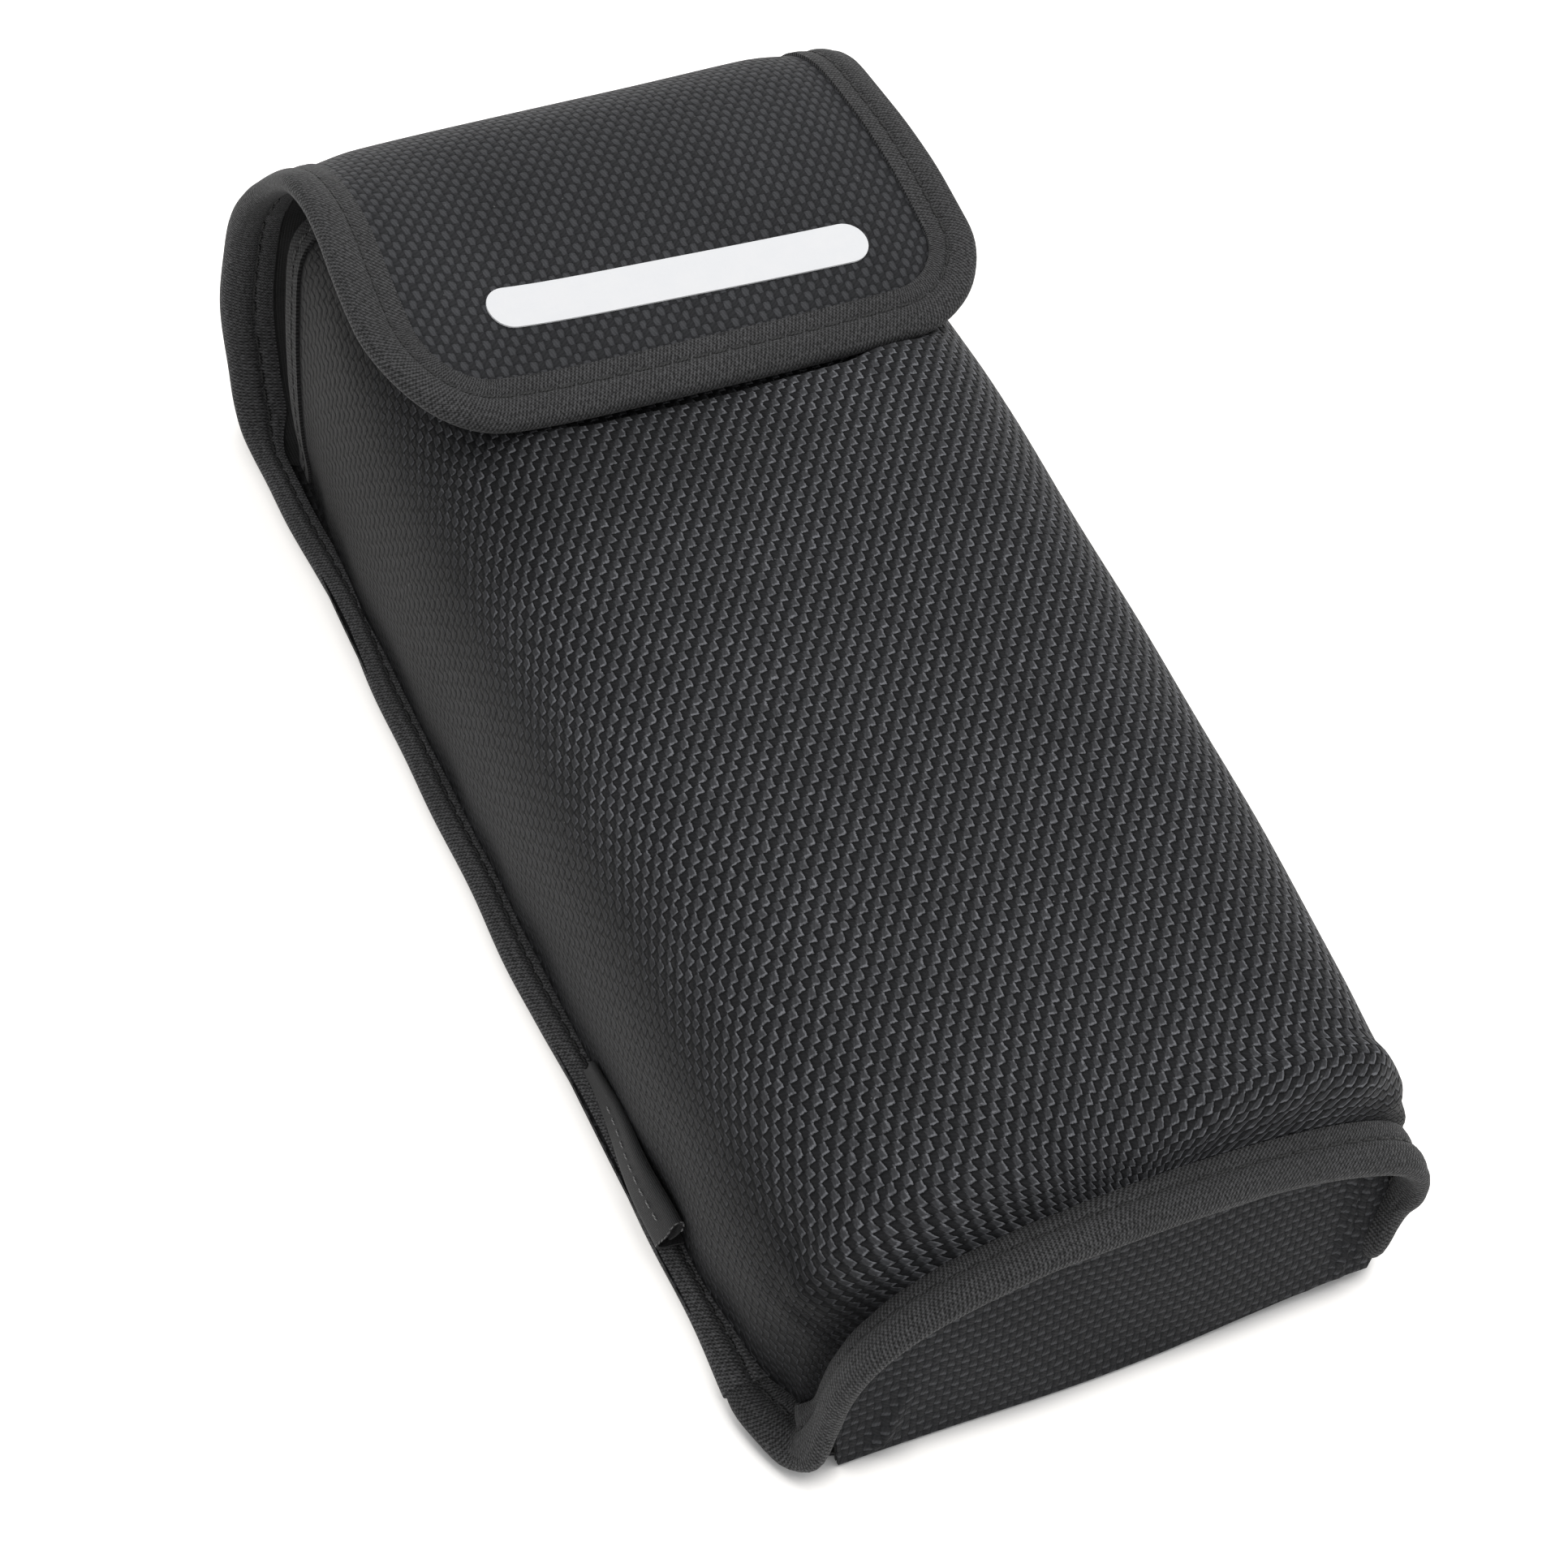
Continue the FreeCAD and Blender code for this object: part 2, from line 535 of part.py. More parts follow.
def flap_panel():
    """The free end of the strip, with round corners, a fastening patch and a label."""
    place = (FLAP_TURN, LAST_Y, LAST_Z)

    def outline(body, feature, low, high, inset, through=False):
        """Add or cut the flap's outline, made smaller by an inset, between two depths."""
        foot = "(-fold_gap)" if through else f"fold_gap + ({high}) * tan({LAST_BEND} / 2 * 1 deg)"
        feature(body, low, high, f"{HALF} - {inset}", foot, f"flap_length - {inset}",
                f"flap_radius - {inset}")

    fill = "(tape_cover + lining_thick)"
    lip_top = f"({PANEL_COVER} + lining_thick)"
    fill_top = f"({PANEL_COVER} + padding_thick)"

    cover = new_body("flap_cloth", *place)
    outline(cover, pad_arch, "0", "tape_thick", "tape_cover")
    outline(cover, pad_arch, "tape_thick", PANEL_COVER, "tape_thick")
    label = keep(new_body("name_label", *place), "name_label")
    label_middle = "(flap_length - label_setback - label_height / 2)"
    label_low = f"({label_middle} - label_height / 2)"
    label_half = "(label_length / 2)"
    pad(label, pill_sketch(label, "0", label_half, label_low, "label_height"), "label_thick")
    keep(cut("flap_cover", cover, label), "flap_cover")

    padding = keep(new_body("flap_padding", *place), "flap_padding")
    outline(padding, pad_arch, PANEL_COVER, fill_top, fill)

    lining = keep(new_body("flap_lining", *place), "flap_lining")
    outline(lining, pad_arch, PANEL_COVER, lip_top, "tape_thick")
    outline(lining, pad_arch, lip_top, PANEL, "tape_cover")
    outline(lining, pocket_arch, PANEL_COVER, fill_top, fill, through=True)

    tape = new_body("flap_tape", *place)
    outline(tape, pad_arch, "0", EDGE, "0")
    outline(tape, pocket_arch, "0", "tape_thick", "tape_cover", through=True)
    outline(tape, pocket_arch, "tape_thick", lip_top, "tape_thick", through=True)
    outline(tape, pocket_arch, lip_top, EDGE, "tape_cover", through=True)
    thread = keep(new_body("flap_stitching", *place), "flap_stitching")
    outline(thread, pad_arch, "0", "thread_height", "(stitch_inset - thread_width / 2)")
    outline(thread, pocket_arch, "0", "thread_height", "(stitch_inset + thread_width / 2)", through=True)
    keep(cut("flap_binding", tape, thread), "flap_binding")

    middle = "(flap_length - patch_setback - patch_depth / 2)"
    fastener("hook", place, PANEL, middle)


def pill_sketch(body, level, half, low, height):
    """A flat bar with half-round ends."""
    sketch = new_sketch(body, "XY_Plane", level)
    end = value(f"{half} - {height} / 2")
    bottom = value(low)
    top = bottom + value(height)
    middle = (bottom + top) / 2
    tip = value(half)
    outline = [
        Part.LineSegment(FreeCAD.Vector(-end, bottom, 0), FreeCAD.Vector(end, bottom, 0)),
        Part.Arc(FreeCAD.Vector(end, bottom, 0), FreeCAD.Vector(tip, middle, 0), FreeCAD.Vector(end, top, 0)),
        Part.LineSegment(FreeCAD.Vector(end, top, 0), FreeCAD.Vector(-end, top, 0)),
        Part.Arc(FreeCAD.Vector(-end, top, 0), FreeCAD.Vector(-tip, middle, 0), FreeCAD.Vector(-end, bottom, 0)),
    ]
    for piece in outline:
        sketch.addGeometry(piece)
    for first in range(4):
        sketch.addConstraint(Sketcher.Constraint("Tangent", first, 2, (first + 1) % 4, 1))
    for straight in (0, 2):
        sketch.addConstraint(Sketcher.Constraint("Horizontal", straight))
    fix(sketch, "DistanceX", f"{half} - {height} / 2", -1, 1, 0, 2)
    fix(sketch, "DistanceX", f"-({half} - {height} / 2)", -1, 1, 0, 1)
    fix(sketch, "DistanceY", low, -1, 1, 0, 1)
    fix(sketch, "DistanceY", f"{low} + {height}", -1, 1, 2, 1)
    return sketch


# ---------------------------------------------------------------- hook and loop, tag

def box_corners(half, middle, depth):
    return [(f"-({half})", f"{middle} - ({depth})"), (half, f"{middle} - ({depth})"),
            (half, f"{middle} + ({depth})"), (f"-({half})", f"{middle} + ({depth})")]


def fastener(kind, place, level, middle):
    """A hook or loop patch and the thread frame that is sunk into its face."""
    half = "patch_length / 2"
    depth = "patch_depth / 2"
    patch = new_body(f"{kind}_strip", *place)
    pad(patch, polygon_sketch(patch, "XY_Plane", level, box_corners(half, middle, depth)), "patch_thick")
    thread = keep(new_body(f"{kind}_patch_stitching", *place), f"{kind}_patch_stitching")
    low = f"{level} + patch_thick - thread_height"
    far = "patch_seam - thread_width / 2"
    near = "patch_seam + thread_width / 2"
    frame = box_corners(f"{half} - ({far})", middle, f"{depth} - ({far})")
    hole = box_corners(f"{half} - ({near})", middle, f"{depth} - ({near})")
    pad(thread, polygon_sketch(thread, "XY_Plane", low, frame), "thread_height")
    pocket(thread, polygon_sketch(thread, "XY_Plane", f"{level} + patch_thick", hole), "thread_height")
    keep(cut(f"{kind}_patch", patch, thread), f"{kind}_patch")


def loop_fastener():
    """The loop patch lies on the front panel, under the hook patch when the flap is closed."""
    middle = f"({LAST_Y} - (flap_length - patch_setback - patch_depth / 2))"
    fastener("loop", ("0", "0", "0"), "mouth_height", middle)


def side_tag():
    """A folded ribbon loop standing in the left seam, as one solid."""
    body = keep(new_body("side_tag"), "side_tag")
    lift = f"({SEAM} + thread_height + fit_gap + tag_thick / 2)"
    foot_x = f"(-({HALF} - tag_inset))"
    out_x = "(-cos(tag_lean * 1 deg))"
    out_z = "sin(tag_lean * 1 deg)"
    corners = []
    for along, aside in ((0, -1), (0, 1), (1, 1), (1, -1)):
        across = f"{foot_x} + {along} * tag_width * {out_x} + {aside} * tag_thick / 2 * {out_z}"
        up = f"{lift} + {along} * tag_width * {out_z} - {aside} * tag_thick / 2 * {out_x}"
        corners.append((across, up))
    far_end = f"-({END_Y} + tag_offset + tag_length)"
    pad(body, polygon_sketch(body, "XZ_Plane", far_end, corners), "tag_length")


# ---------------------------------------------------------------- build and write

back_panel()
front_panel()
mouth_trim()
end_panel()
loop_fastener()
bridge_panel("bridge_lower", (FOLD_Y, "0"), LOWER_TURN, LOWER_LENGTH, FIRST_BEND, KNEE_BEND)
bridge_panel("bridge_upper", (KNEE_Y, "knee_height"), UPPER_TURN, UPPER_LENGTH, KNEE_BEND, LAST_BEND)
flap_panel()
side_tag()
doc.recompute()

for item in doc.Objects:
    if "Invalid" in item.State or "Error" in item.State:
        raise RuntimeError(f"{item.Name} did not build: {item.State}")
for item in nodes:
    if item.Shape.isNull() or not item.Shape.isValid() or item.Shape.Volume <= 0:
        raise RuntimeError(f"{item.Label} has no valid solid")

os.makedirs("parts", exist_ok=True)
for item in nodes:
    item.Shape.exportStep(f"parts/{item.Label}.step")
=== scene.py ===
"""Soft padded battery pouch of black ballistic nylon, bound with ribbed tape.

Lengths are millimetres until new_object turns them into metres.
On a panel, x or u runs across the flat cloth and s or v along it.
"""

import math

import bpy
import numpy as np
from mathutils import Matrix, Vector


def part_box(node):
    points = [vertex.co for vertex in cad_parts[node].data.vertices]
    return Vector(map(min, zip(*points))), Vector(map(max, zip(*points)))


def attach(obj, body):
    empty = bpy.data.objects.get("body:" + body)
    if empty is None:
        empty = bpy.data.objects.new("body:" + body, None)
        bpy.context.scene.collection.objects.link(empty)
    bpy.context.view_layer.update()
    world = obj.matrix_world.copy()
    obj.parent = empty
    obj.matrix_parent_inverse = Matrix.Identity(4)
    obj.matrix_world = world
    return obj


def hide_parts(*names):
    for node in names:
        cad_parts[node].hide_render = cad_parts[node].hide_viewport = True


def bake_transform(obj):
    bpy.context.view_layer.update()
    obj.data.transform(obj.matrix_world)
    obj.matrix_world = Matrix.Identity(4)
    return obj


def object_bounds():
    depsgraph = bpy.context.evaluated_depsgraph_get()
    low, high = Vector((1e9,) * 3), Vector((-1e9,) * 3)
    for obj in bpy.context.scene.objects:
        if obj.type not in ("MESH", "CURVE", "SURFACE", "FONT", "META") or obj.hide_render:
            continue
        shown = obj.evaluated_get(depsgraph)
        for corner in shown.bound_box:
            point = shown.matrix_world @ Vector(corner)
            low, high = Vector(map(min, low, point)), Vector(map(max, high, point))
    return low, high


MM = 0.001
FLOOR_GAP = 0.02
rng = np.random.default_rng(41)

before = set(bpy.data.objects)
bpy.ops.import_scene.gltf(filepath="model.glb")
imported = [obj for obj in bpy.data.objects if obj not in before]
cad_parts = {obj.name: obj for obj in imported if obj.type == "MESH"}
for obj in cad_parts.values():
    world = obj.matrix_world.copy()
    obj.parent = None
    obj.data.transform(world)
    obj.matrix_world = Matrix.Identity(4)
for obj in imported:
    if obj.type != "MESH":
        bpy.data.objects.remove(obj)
cad_low, cad_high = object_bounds()


def span(node):
    """A CAD node's lowest and highest corners in mm."""
    low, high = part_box(node)
    return np.array(low) / MM, np.array(high) / MM


# ---- camera

CAMERA_AZIMUTH = -35.1
CAMERA_ELEVATION = 50.3
CAMERA_ROLL = 12.6
CAMERA_DISTANCE = 550.3
CAMERA_TARGET = np.array([-5.4, -11.25, 20.0])
CAMERA_LENS = 85.46


def make_camera():
    az = math.radians(CAMERA_AZIMUTH)
    el = math.radians(CAMERA_ELEVATION)
    roll = math.radians(CAMERA_ROLL)
    back = Vector((math.sin(az) * math.cos(el), -math.cos(az) * math.cos(el), math.sin(el)))
    level = Vector((math.cos(az), math.sin(az), 0))
    above = back.cross(level)
    right = level * math.cos(roll) + above * math.sin(roll)
    up = -level * math.sin(roll) + above * math.cos(roll)
    data = bpy.data.cameras.new("camera")
    data.lens = CAMERA_LENS
    data.sensor_width = 36
    data.clip_start = 0.01
    data.clip_end = 20
    camera = bpy.data.objects.new("camera", data)
    place = Matrix((right, up, back)).transposed().to_4x4()
    place.translation = (Vector(CAMERA_TARGET) + back * CAMERA_DISTANCE) * MM
    camera.matrix_world = place
    bpy.context.scene.collection.objects.link(camera)
    bpy.context.scene.camera = camera


make_camera()

# ---- small maths


def smooth(low, high, value):
    """0 below low, 1 above high, and eased between."""
    t = np.clip((np.asarray(value, float) - low) / (high - low), 0, 1)
    return t * t * (3 - 2 * t)


def bell(value, middle, width):
    return np.exp(-(((value - middle) / width) ** 2))


def hermite(keys, values, at):
    """A smooth curve through values at the keys, read at other places."""
    keys = np.asarray(keys, float)
    values = np.asarray(values, float)
    at = np.asarray(at, float)
    slopes = np.gradient(values, keys, axis=0)
    cell = np.clip(np.searchsorted(keys, at, side="right") - 1, 0, len(keys) - 2)
    step = keys[cell + 1] - keys[cell]
    t = (at - keys[cell]) / step
    extra = (1,) * (values.ndim - 1)
    t = t.reshape(t.shape + extra)
    step = step.reshape(step.shape + extra)
    return (
        (2 * t**3 - 3 * t**2 + 1) * values[cell]
        + (t**3 - 2 * t**2 + t) * step * slopes[cell]
        + (3 * t**2 - 2 * t**3) * values[cell + 1]
        + (t**3 - t**2) * step * slopes[cell + 1]
    )


def read(at, keys, rows):
    """Points read between the keys of a line of points."""
    return np.stack([np.interp(at, keys, rows[:, i]) for i in range(3)], -1)


def unit(vectors):
    return vectors / np.maximum(np.linalg.norm(vectors, axis=-1, keepdims=True), 1e-9)


def run_length(points):
    """Distance along a line of points, from its first."""
    steps = np.linalg.norm(np.diff(points, axis=0), axis=1)
    return np.concatenate([[0], np.cumsum(steps)])


def grid_normals(points):
    return unit(np.cross(np.gradient(points, axis=1), np.gradient(points, axis=0)))


# ---- mesh making


def new_object(name, verts, faces, material, uv=None, sharp=None):
    mesh = bpy.data.meshes.new(name)
    verts = np.array(verts, float)
    verts[:, 2] = np.maximum(verts[:, 2], FLOOR_GAP)
    mesh.from_pydata((verts * MM).tolist(), [], [list(map(int, f)) for f in faces])
    mesh.polygons.foreach_set("use_smooth", np.ones(len(mesh.polygons), bool))
    if uv is not None:
        layer = mesh.uv_layers.new(name="cloth")
        corner = np.zeros(len(mesh.loops), np.int32)
        mesh.loops.foreach_get("vertex_index", corner)
        layer.data.foreach_set("uv", np.asarray(uv, np.float32)[corner].ravel())
    if sharp is not None:
        pairs = np.zeros(len(mesh.edges) * 2, np.int32)
        mesh.edges.foreach_get("vertices", pairs)
        pairs = np.sort(pairs.reshape(-1, 2), axis=1).astype(np.int64)
        wanted = np.sort(np.asarray(sharp), axis=1).astype(np.int64)
        size = len(mesh.vertices)
        hard = np.isin(pairs[:, 0] * size + pairs[:, 1], wanted[:, 0] * size + wanted[:, 1])
        mark = mesh.attributes.new("sharp_edge", "BOOLEAN", "EDGE")
        mark.data.foreach_set("value", hard)
    mesh.materials.append(material)
    obj = bpy.data.objects.new(name, mesh)
    bpy.context.scene.collection.objects.link(obj)
    return obj


def slab(name, top, under, cloth, material, flip=False):
    """A closed layer between two grids of points, with its cloth coordinates in mm."""
    rows, cols = top.shape[:2]
    count = rows * cols
    index = np.arange(count).reshape(rows, cols)
    a, b, c, d = index[:-1, :-1], index[:-1, 1:], index[1:, 1:], index[1:, :-1]
    upper = np.stack([a, b, c, d], -1).reshape(-1, 4)
    lower = np.stack([a, d, c, b], -1).reshape(-1, 4) + count
    loop = np.concatenate([index[0, :-1], index[:-1, -1], index[-1, :0:-1], index[:0:-1, 0]])
    after = np.roll(loop, -1)
    rim = np.stack([after, loop, loop + count, after + count], -1)
    faces = np.concatenate([upper, lower, rim])
    if flip:
        faces = faces[:, ::-1]
    verts = np.concatenate([top.reshape(-1, 3), under.reshape(-1, 3)])
    uv = np.concatenate([cloth.reshape(-1, 2)] * 2)
    edges = np.stack([loop, after], -1)
    sharp = np.concatenate([edges, edges + count])
    return new_object(name, verts, faces, material, uv, sharp)


def finish_piece(obj, slot, nodes=(), body=None, blend=None):
    if nodes:
        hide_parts(*nodes)
    if blend:
        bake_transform(obj)
    else:
        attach(obj, body)
    return obj


# ---- materials


class Nodes:
    """A node tree under construction, with short calls for its nodes."""

    def __init__(self, tree):
        self.tree = tree
        self.put = tree.links.new

    def new(self, kind):
        return self.tree.nodes.new("ShaderNode" + kind)

    def feed(self, socket, value):
        if isinstance(value, bpy.types.NodeSocket):
            self.put(value, socket)
        else:
            socket.default_value = value

    def math(self, operation, *values):
        made = self.new("Math")
        made.operation = operation
        for socket, value in zip(made.inputs, values):
            self.feed(socket, value)
        return made.outputs[0]

    def add(self, *values):
        total = values[0]
        for value in values[1:]:
            total = self.math("ADD", total, value)
        return total

    def mul(self, first, second):
        return self.math("MULTIPLY", first, second)

    def minus(self, first, second):
        return self.math("SUBTRACT", first, second)

    def line(self, value, gain, offset):
        return self.math("MULTIPLY_ADD", value, gain, offset)

    def ease(self, value, low, high, start=0.0, end=1.0):
        made = self.new("MapRange")
        made.interpolation_type = "SMOOTHSTEP"
        for socket, item in zip(made.inputs, (value, low, high, start, end)):
            self.feed(socket, item)
        return made.outputs[0]

    def split(self, vector):
        parts = self.new("SeparateXYZ")
        self.put(vector, parts.inputs[0])
        return parts.outputs

    def wave(self, value, pitch):
        return self.math("SINE", self.mul(value, 2 * math.pi / pitch))


class Shader(Nodes):
    """A material, whose cloth coordinates are in mm over the flat cloth."""

    def __init__(self, name):
        self.material = bpy.data.materials.new(name)
        self.material.use_nodes = True
        super().__init__(self.material.node_tree)
        self.surface = self.tree.nodes["Principled BSDF"]

    def cloth(self):
        uv = self.new("UVMap")
        uv.uv_map = "cloth"
        self.uv = uv.outputs[0]
        return self.split(self.uv)[:2]

    def noise(self, scale, detail=2.0, rough=0.5, distortion=0.0):
        made = self.new("TexNoise")
        self.put(self.uv, made.inputs["Vector"])
        made.inputs["Scale"].default_value = scale
        made.inputs["Detail"].default_value = detail
        made.inputs["Roughness"].default_value = rough
        made.inputs["Distortion"].default_value = distortion
        return made.outputs["Fac"]

    def mix(self, factor, first, second):
        made = self.new("Mix")
        made.data_type = "RGBA"
        for slot, value in ((0, factor), (6, first), (7, second)):
            self.feed(made.inputs[slot], value)
        return made.outputs[2]

    def lint(self, color, scale, low, high, share, tone):
        """Stray pale fibres over a colour."""
        flecks = self.ease(self.noise(scale, 0.0), low, high)
        return self.mix(self.mul(flecks, share), color, grey(tone))

    def done(self, color, roughness, relief, distance, specular=0.2, sheen=0.0, sheen_rough=0.5):
        """Wire up the surface, with the relief raised by distance in metres."""
        bump = self.new("Bump")
        self.put(relief, bump.inputs["Height"])
        bump.inputs["Distance"].default_value = distance
        inputs = self.surface.inputs
        self.put(bump.outputs[0], inputs["Normal"])
        self.feed(inputs["Base Color"], color)
        self.feed(inputs["Roughness"], roughness)
        inputs["Specular IOR Level"].default_value = specular
        inputs["Sheen Weight"].default_value = sheen
        inputs["Sheen Roughness"].default_value = sheen_rough
        return self.material


def grey(level, blue=1.0):
    return (level, level, level * blue, 1)


def plain_weave(sh, u, v, pitch_u, pitch_v, lift, fullness=0.5):
    """Plain weave of fat yarns.

    Gives its height, how far the warp is above the weft, the place in the cell, and which cells are weft.
    """
    floors, places = [], []
    for value, pitch in ((u, pitch_u), (v, pitch_v)):
        scaled = sh.mul(value, 1 / pitch)
        floors.append(sh.math("FLOOR", scaled))
        places.append(sh.minus(sh.minus(scaled, floors[-1]), 0.5))
    fu, fv = places
    weft_cell = sh.math("FLOORED_MODULO", sh.add(*floors), 2.0)
    sign = sh.line(weft_cell, -2.0, 1.0)

    def hump(f):
        wide = sh.mul(f, 1.9)
        inner = sh.minus(1.0, sh.mul(wide, wide))
        return sh.mul(sh.math("SQRT", sh.math("MAXIMUM", inner, 0.0)), fullness)

    def wave(f):
        return sh.mul(sh.mul(sh.math("COSINE", sh.mul(f, math.pi)), sign), lift)

    warp = sh.add(wave(fv), hump(fu))
    weft = sh.minus(hump(fv), wave(fu))
    height = sh.math("MAXIMUM", warp, weft)
    return height, sh.minus(warp, weft), fu, fv, weft_cell


def stepped_edge(sh, fu, fv, weft_cell, frayed):
    """0 on the stepped line beside and under a diagonal of floats, rising to 1 at the next one."""
    from_side = sh.add(sh.minus(0.5, fu), frayed)
    from_foot = sh.add(fv, sh.line(frayed, -0.8, 0.5))
    warp_cell = sh.minus(1.0, weft_cell)
    nearest = sh.mul(sh.math("MINIMUM", from_side, from_foot), warp_cell)
    return sh.add(nearest, sh.mul(sh.math("MAXIMUM", from_side, from_foot), weft_cell))


def nylon_material(name, edge_highlight_tone, float_tone, ground_tone, dash_highlight_tone=0.0, wall_shade_from=None):
    """Ballistic nylon: a plain weave of twisted yarn, with a painted highlight along one side of each float.

    The tones are those of the painted highlight on a float's edge, of its top, of the ground between, and of
    short painted highlight dashes.
    The last argument is how far out from the middle painted shade begins on the front's wall at each side.
    """
    sh = Shader(name)
    u, v = sh.cloth()
    shift = sh.line(sh.noise(0.3, 1.0), 0.7, -0.35)
    jitter = sh.line(sh.noise(1.3, 1.0), 0.34, -0.17)
    moved_u, moved_v = sh.add(u, shift, jitter), sh.add(v, shift, sh.mul(jitter, -1.0))
    height, above, fu, fv, weft_cell = plain_weave(sh, moved_u, moved_v, WEAVE_ACROSS, WEAVE_ALONG, 0.55)
    over = sh.ease(above, -0.06, 0.1)
    strand = sh.math("SINE", sh.add(sh.mul(fu, 15.0), sh.mul(fv, -7.0)))
    weft_strand = sh.math("SINE", sh.add(sh.mul(fv, 15.0), sh.mul(fu, 7.0)))
    twist = sh.add(sh.mul(strand, over), sh.mul(weft_strand, sh.minus(1.0, over)))
    fuzz = sh.noise(4.0, 2.0, 0.6)
    frayed = sh.line(fuzz, 0.3, -0.15)
    broad = sh.line(sh.noise(0.04, 3.0), 0.5, 0.75)
    if edge_highlight_tone:
        away = stepped_edge(sh, fu, fv, weft_cell, frayed)
        plateau = sh.mul(sh.ease(away, -0.03, 0.12), sh.ease(away, 1.0, 0.52, 0.12, 1.0))
        # Painted highlight along one side of each float.
        edge = sh.mul(sh.ease(away, 0.0, 0.07), sh.ease(away, 0.34, 0.13))
        edge = sh.mul(edge, sh.ease(sh.noise(0.9, 1.0), 0.3, 0.7, 0.25, 1.5))
        edge = sh.mul(edge, sh.line(over, 0.55, 0.45))
        relief = sh.add(sh.mul(height, 0.6), sh.mul(plateau, 0.5), sh.mul(twist, 0.05), sh.mul(fuzz, 0.2))
        # Warp floats painted lighter than the weft: a painted sheen.
        raised = sh.mul(plateau, sh.line(over, 0.85, 0.15))
        # Painted shade just before the next diagonal of floats.
        painted_pit_shade = sh.ease(away, 1.0, 0.8, 0.35, 1.0)
        tone = sh.add(ground_tone, sh.mul(raised, float_tone), sh.mul(edge, edge_highlight_tone))
        tone = sh.mul(tone, painted_pit_shade)
    else:
        relief = sh.add(height, sh.mul(twist, 0.06), sh.mul(fuzz, 0.2))
        # Painted sheen on the floats' tops.
        painted_float_sheen = sh.mul(over, sh.ease(sh.add(above, sh.mul(fuzz, 0.5)), 0.3, 1.1))
        # Painted shade in the weave's hollows.
        painted_hollow_shade = sh.ease(relief, 0.12, 0.62, 0.45, 1.0)
        tone = sh.add(sh.mul(painted_hollow_shade, ground_tone), sh.mul(painted_float_sheen, float_tone))
        if dash_highlight_tone:
            # Short painted highlights in dashes along the foot of each warp float.
            dash_highlight = sh.mul(sh.ease(sh.add(fv, frayed), -0.52, -0.4), sh.ease(sh.add(fv, frayed), -0.08, -0.26))
            dash_highlight = sh.mul(dash_highlight, sh.minus(1.0, weft_cell))
            tone = sh.add(tone, sh.mul(dash_highlight, dash_highlight_tone))
    lift = relief
    if wall_shade_from:
        # Painted shade: darker down the wall at each side and in the mouth's left corner, and a painted
        # shadow a little under the flap's left edge.
        painted_wall_shade_mask = sh.ease(sh.math("ABSOLUTE", u), wall_shade_from, wall_shade_from + WALL_FADE)
        mouth_corner_shadow = sh.mul(sh.ease(v, 148.0, 186.0), sh.ease(u, -20.0, -40.0))
        painted_wall_shade_mask = sh.math("MAXIMUM", painted_wall_shade_mask, mouth_corner_shadow)
        tone = sh.add(sh.mul(tone, sh.line(painted_wall_shade_mask, -0.76, 1.0)), sh.mul(painted_wall_shade_mask, 0.0052))
        flap_edge_shadow = sh.mul(sh.ease(v, 116.0, 142.0), sh.ease(u, 12.0, -26.0))
        tone = sh.mul(tone, sh.line(mouth_corner_shadow, -0.5, 1.0))
        tone = sh.mul(tone, sh.line(flap_edge_shadow, -0.38, 1.0))
        lift = sh.mul(relief, sh.line(painted_wall_shade_mask, -0.35, 1.0))
    strands = sh.line(twist, 0.12, sh.line(fuzz, 0.5, 0.72))
    tone = sh.mul(sh.mul(tone, strands), broad)
    color = sh.mix(sh.mul(tone, 4.0), grey(0.001), (0.208, 0.212, 0.228, 1))
    color = sh.lint(color, 1.7, 0.875, 0.9, 0.5, 0.2)
    rough = sh.ease(relief, 0.2, 1.1, 0.8, 0.5)
    return sh.done(color, rough, lift, 0.00024, specular=0.07, sheen=0.02, sheen_rough=0.45)


def tape_material(name, tone):
    """Grosgrain binding tape: fine slanting ribs across its width."""
    sh = Shader(name)
    u, v = sh.cloth()
    slant = sh.add(u, sh.mul(v, 0.45))
    wobble = sh.mul(sh.noise(1.2, 1.0), 0.3)
    rib = sh.wave(sh.add(slant, wobble), RIB_PITCH)
    cross = sh.wave(sh.add(v, wobble), RIB_CROSS)
    weave = sh.add(sh.mul(rib, 0.28), sh.mul(sh.mul(rib, cross), 0.3))
    fuzz = sh.noise(1.7, 3.0, 0.7)
    relief = sh.add(weave, sh.mul(fuzz, 1.9))
    broad = sh.noise(0.07, 2.0)
    # Painted highlight where the ribs and fuzz stand high, painted shade where they are low.
    painted_rib_light = sh.ease(relief, 0.45, 1.75)
    mixed = sh.mul(painted_rib_light, sh.line(broad, 0.8, 0.6))
    color = sh.mix(mixed, grey(tone * 0.22), grey(tone * 2.0, 1.03))
    color = sh.lint(color, 1.7, 0.86, 0.89, 0.4, 0.14)
    rough = sh.ease(relief, 0.2, 1.7, 0.85, 0.6)
    return sh.done(color, rough, relief, 0.0001, specular=0.2, sheen=0.08, sheen_rough=0.4)


def lining_material(name, tone):
    """Thin coated taffeta: a fine even weave with a slight gloss."""
    sh = Shader(name)
    u, v = sh.cloth()
    height = plain_weave(sh, u, v, 0.42, 0.42, 0.5)[0]
    drape = sh.noise(0.12, 2.0)
    relief = sh.add(height, sh.mul(drape, 0.8))
    color = sh.mix(sh.ease(relief, 0.2, 1.6), grey(tone * 0.55), grey(tone * 1.25))
    rough = sh.ease(drape, 0.3, 0.7, 0.45, 0.6)
    return sh.done(color, rough, relief, 0.00006, specular=0.35)


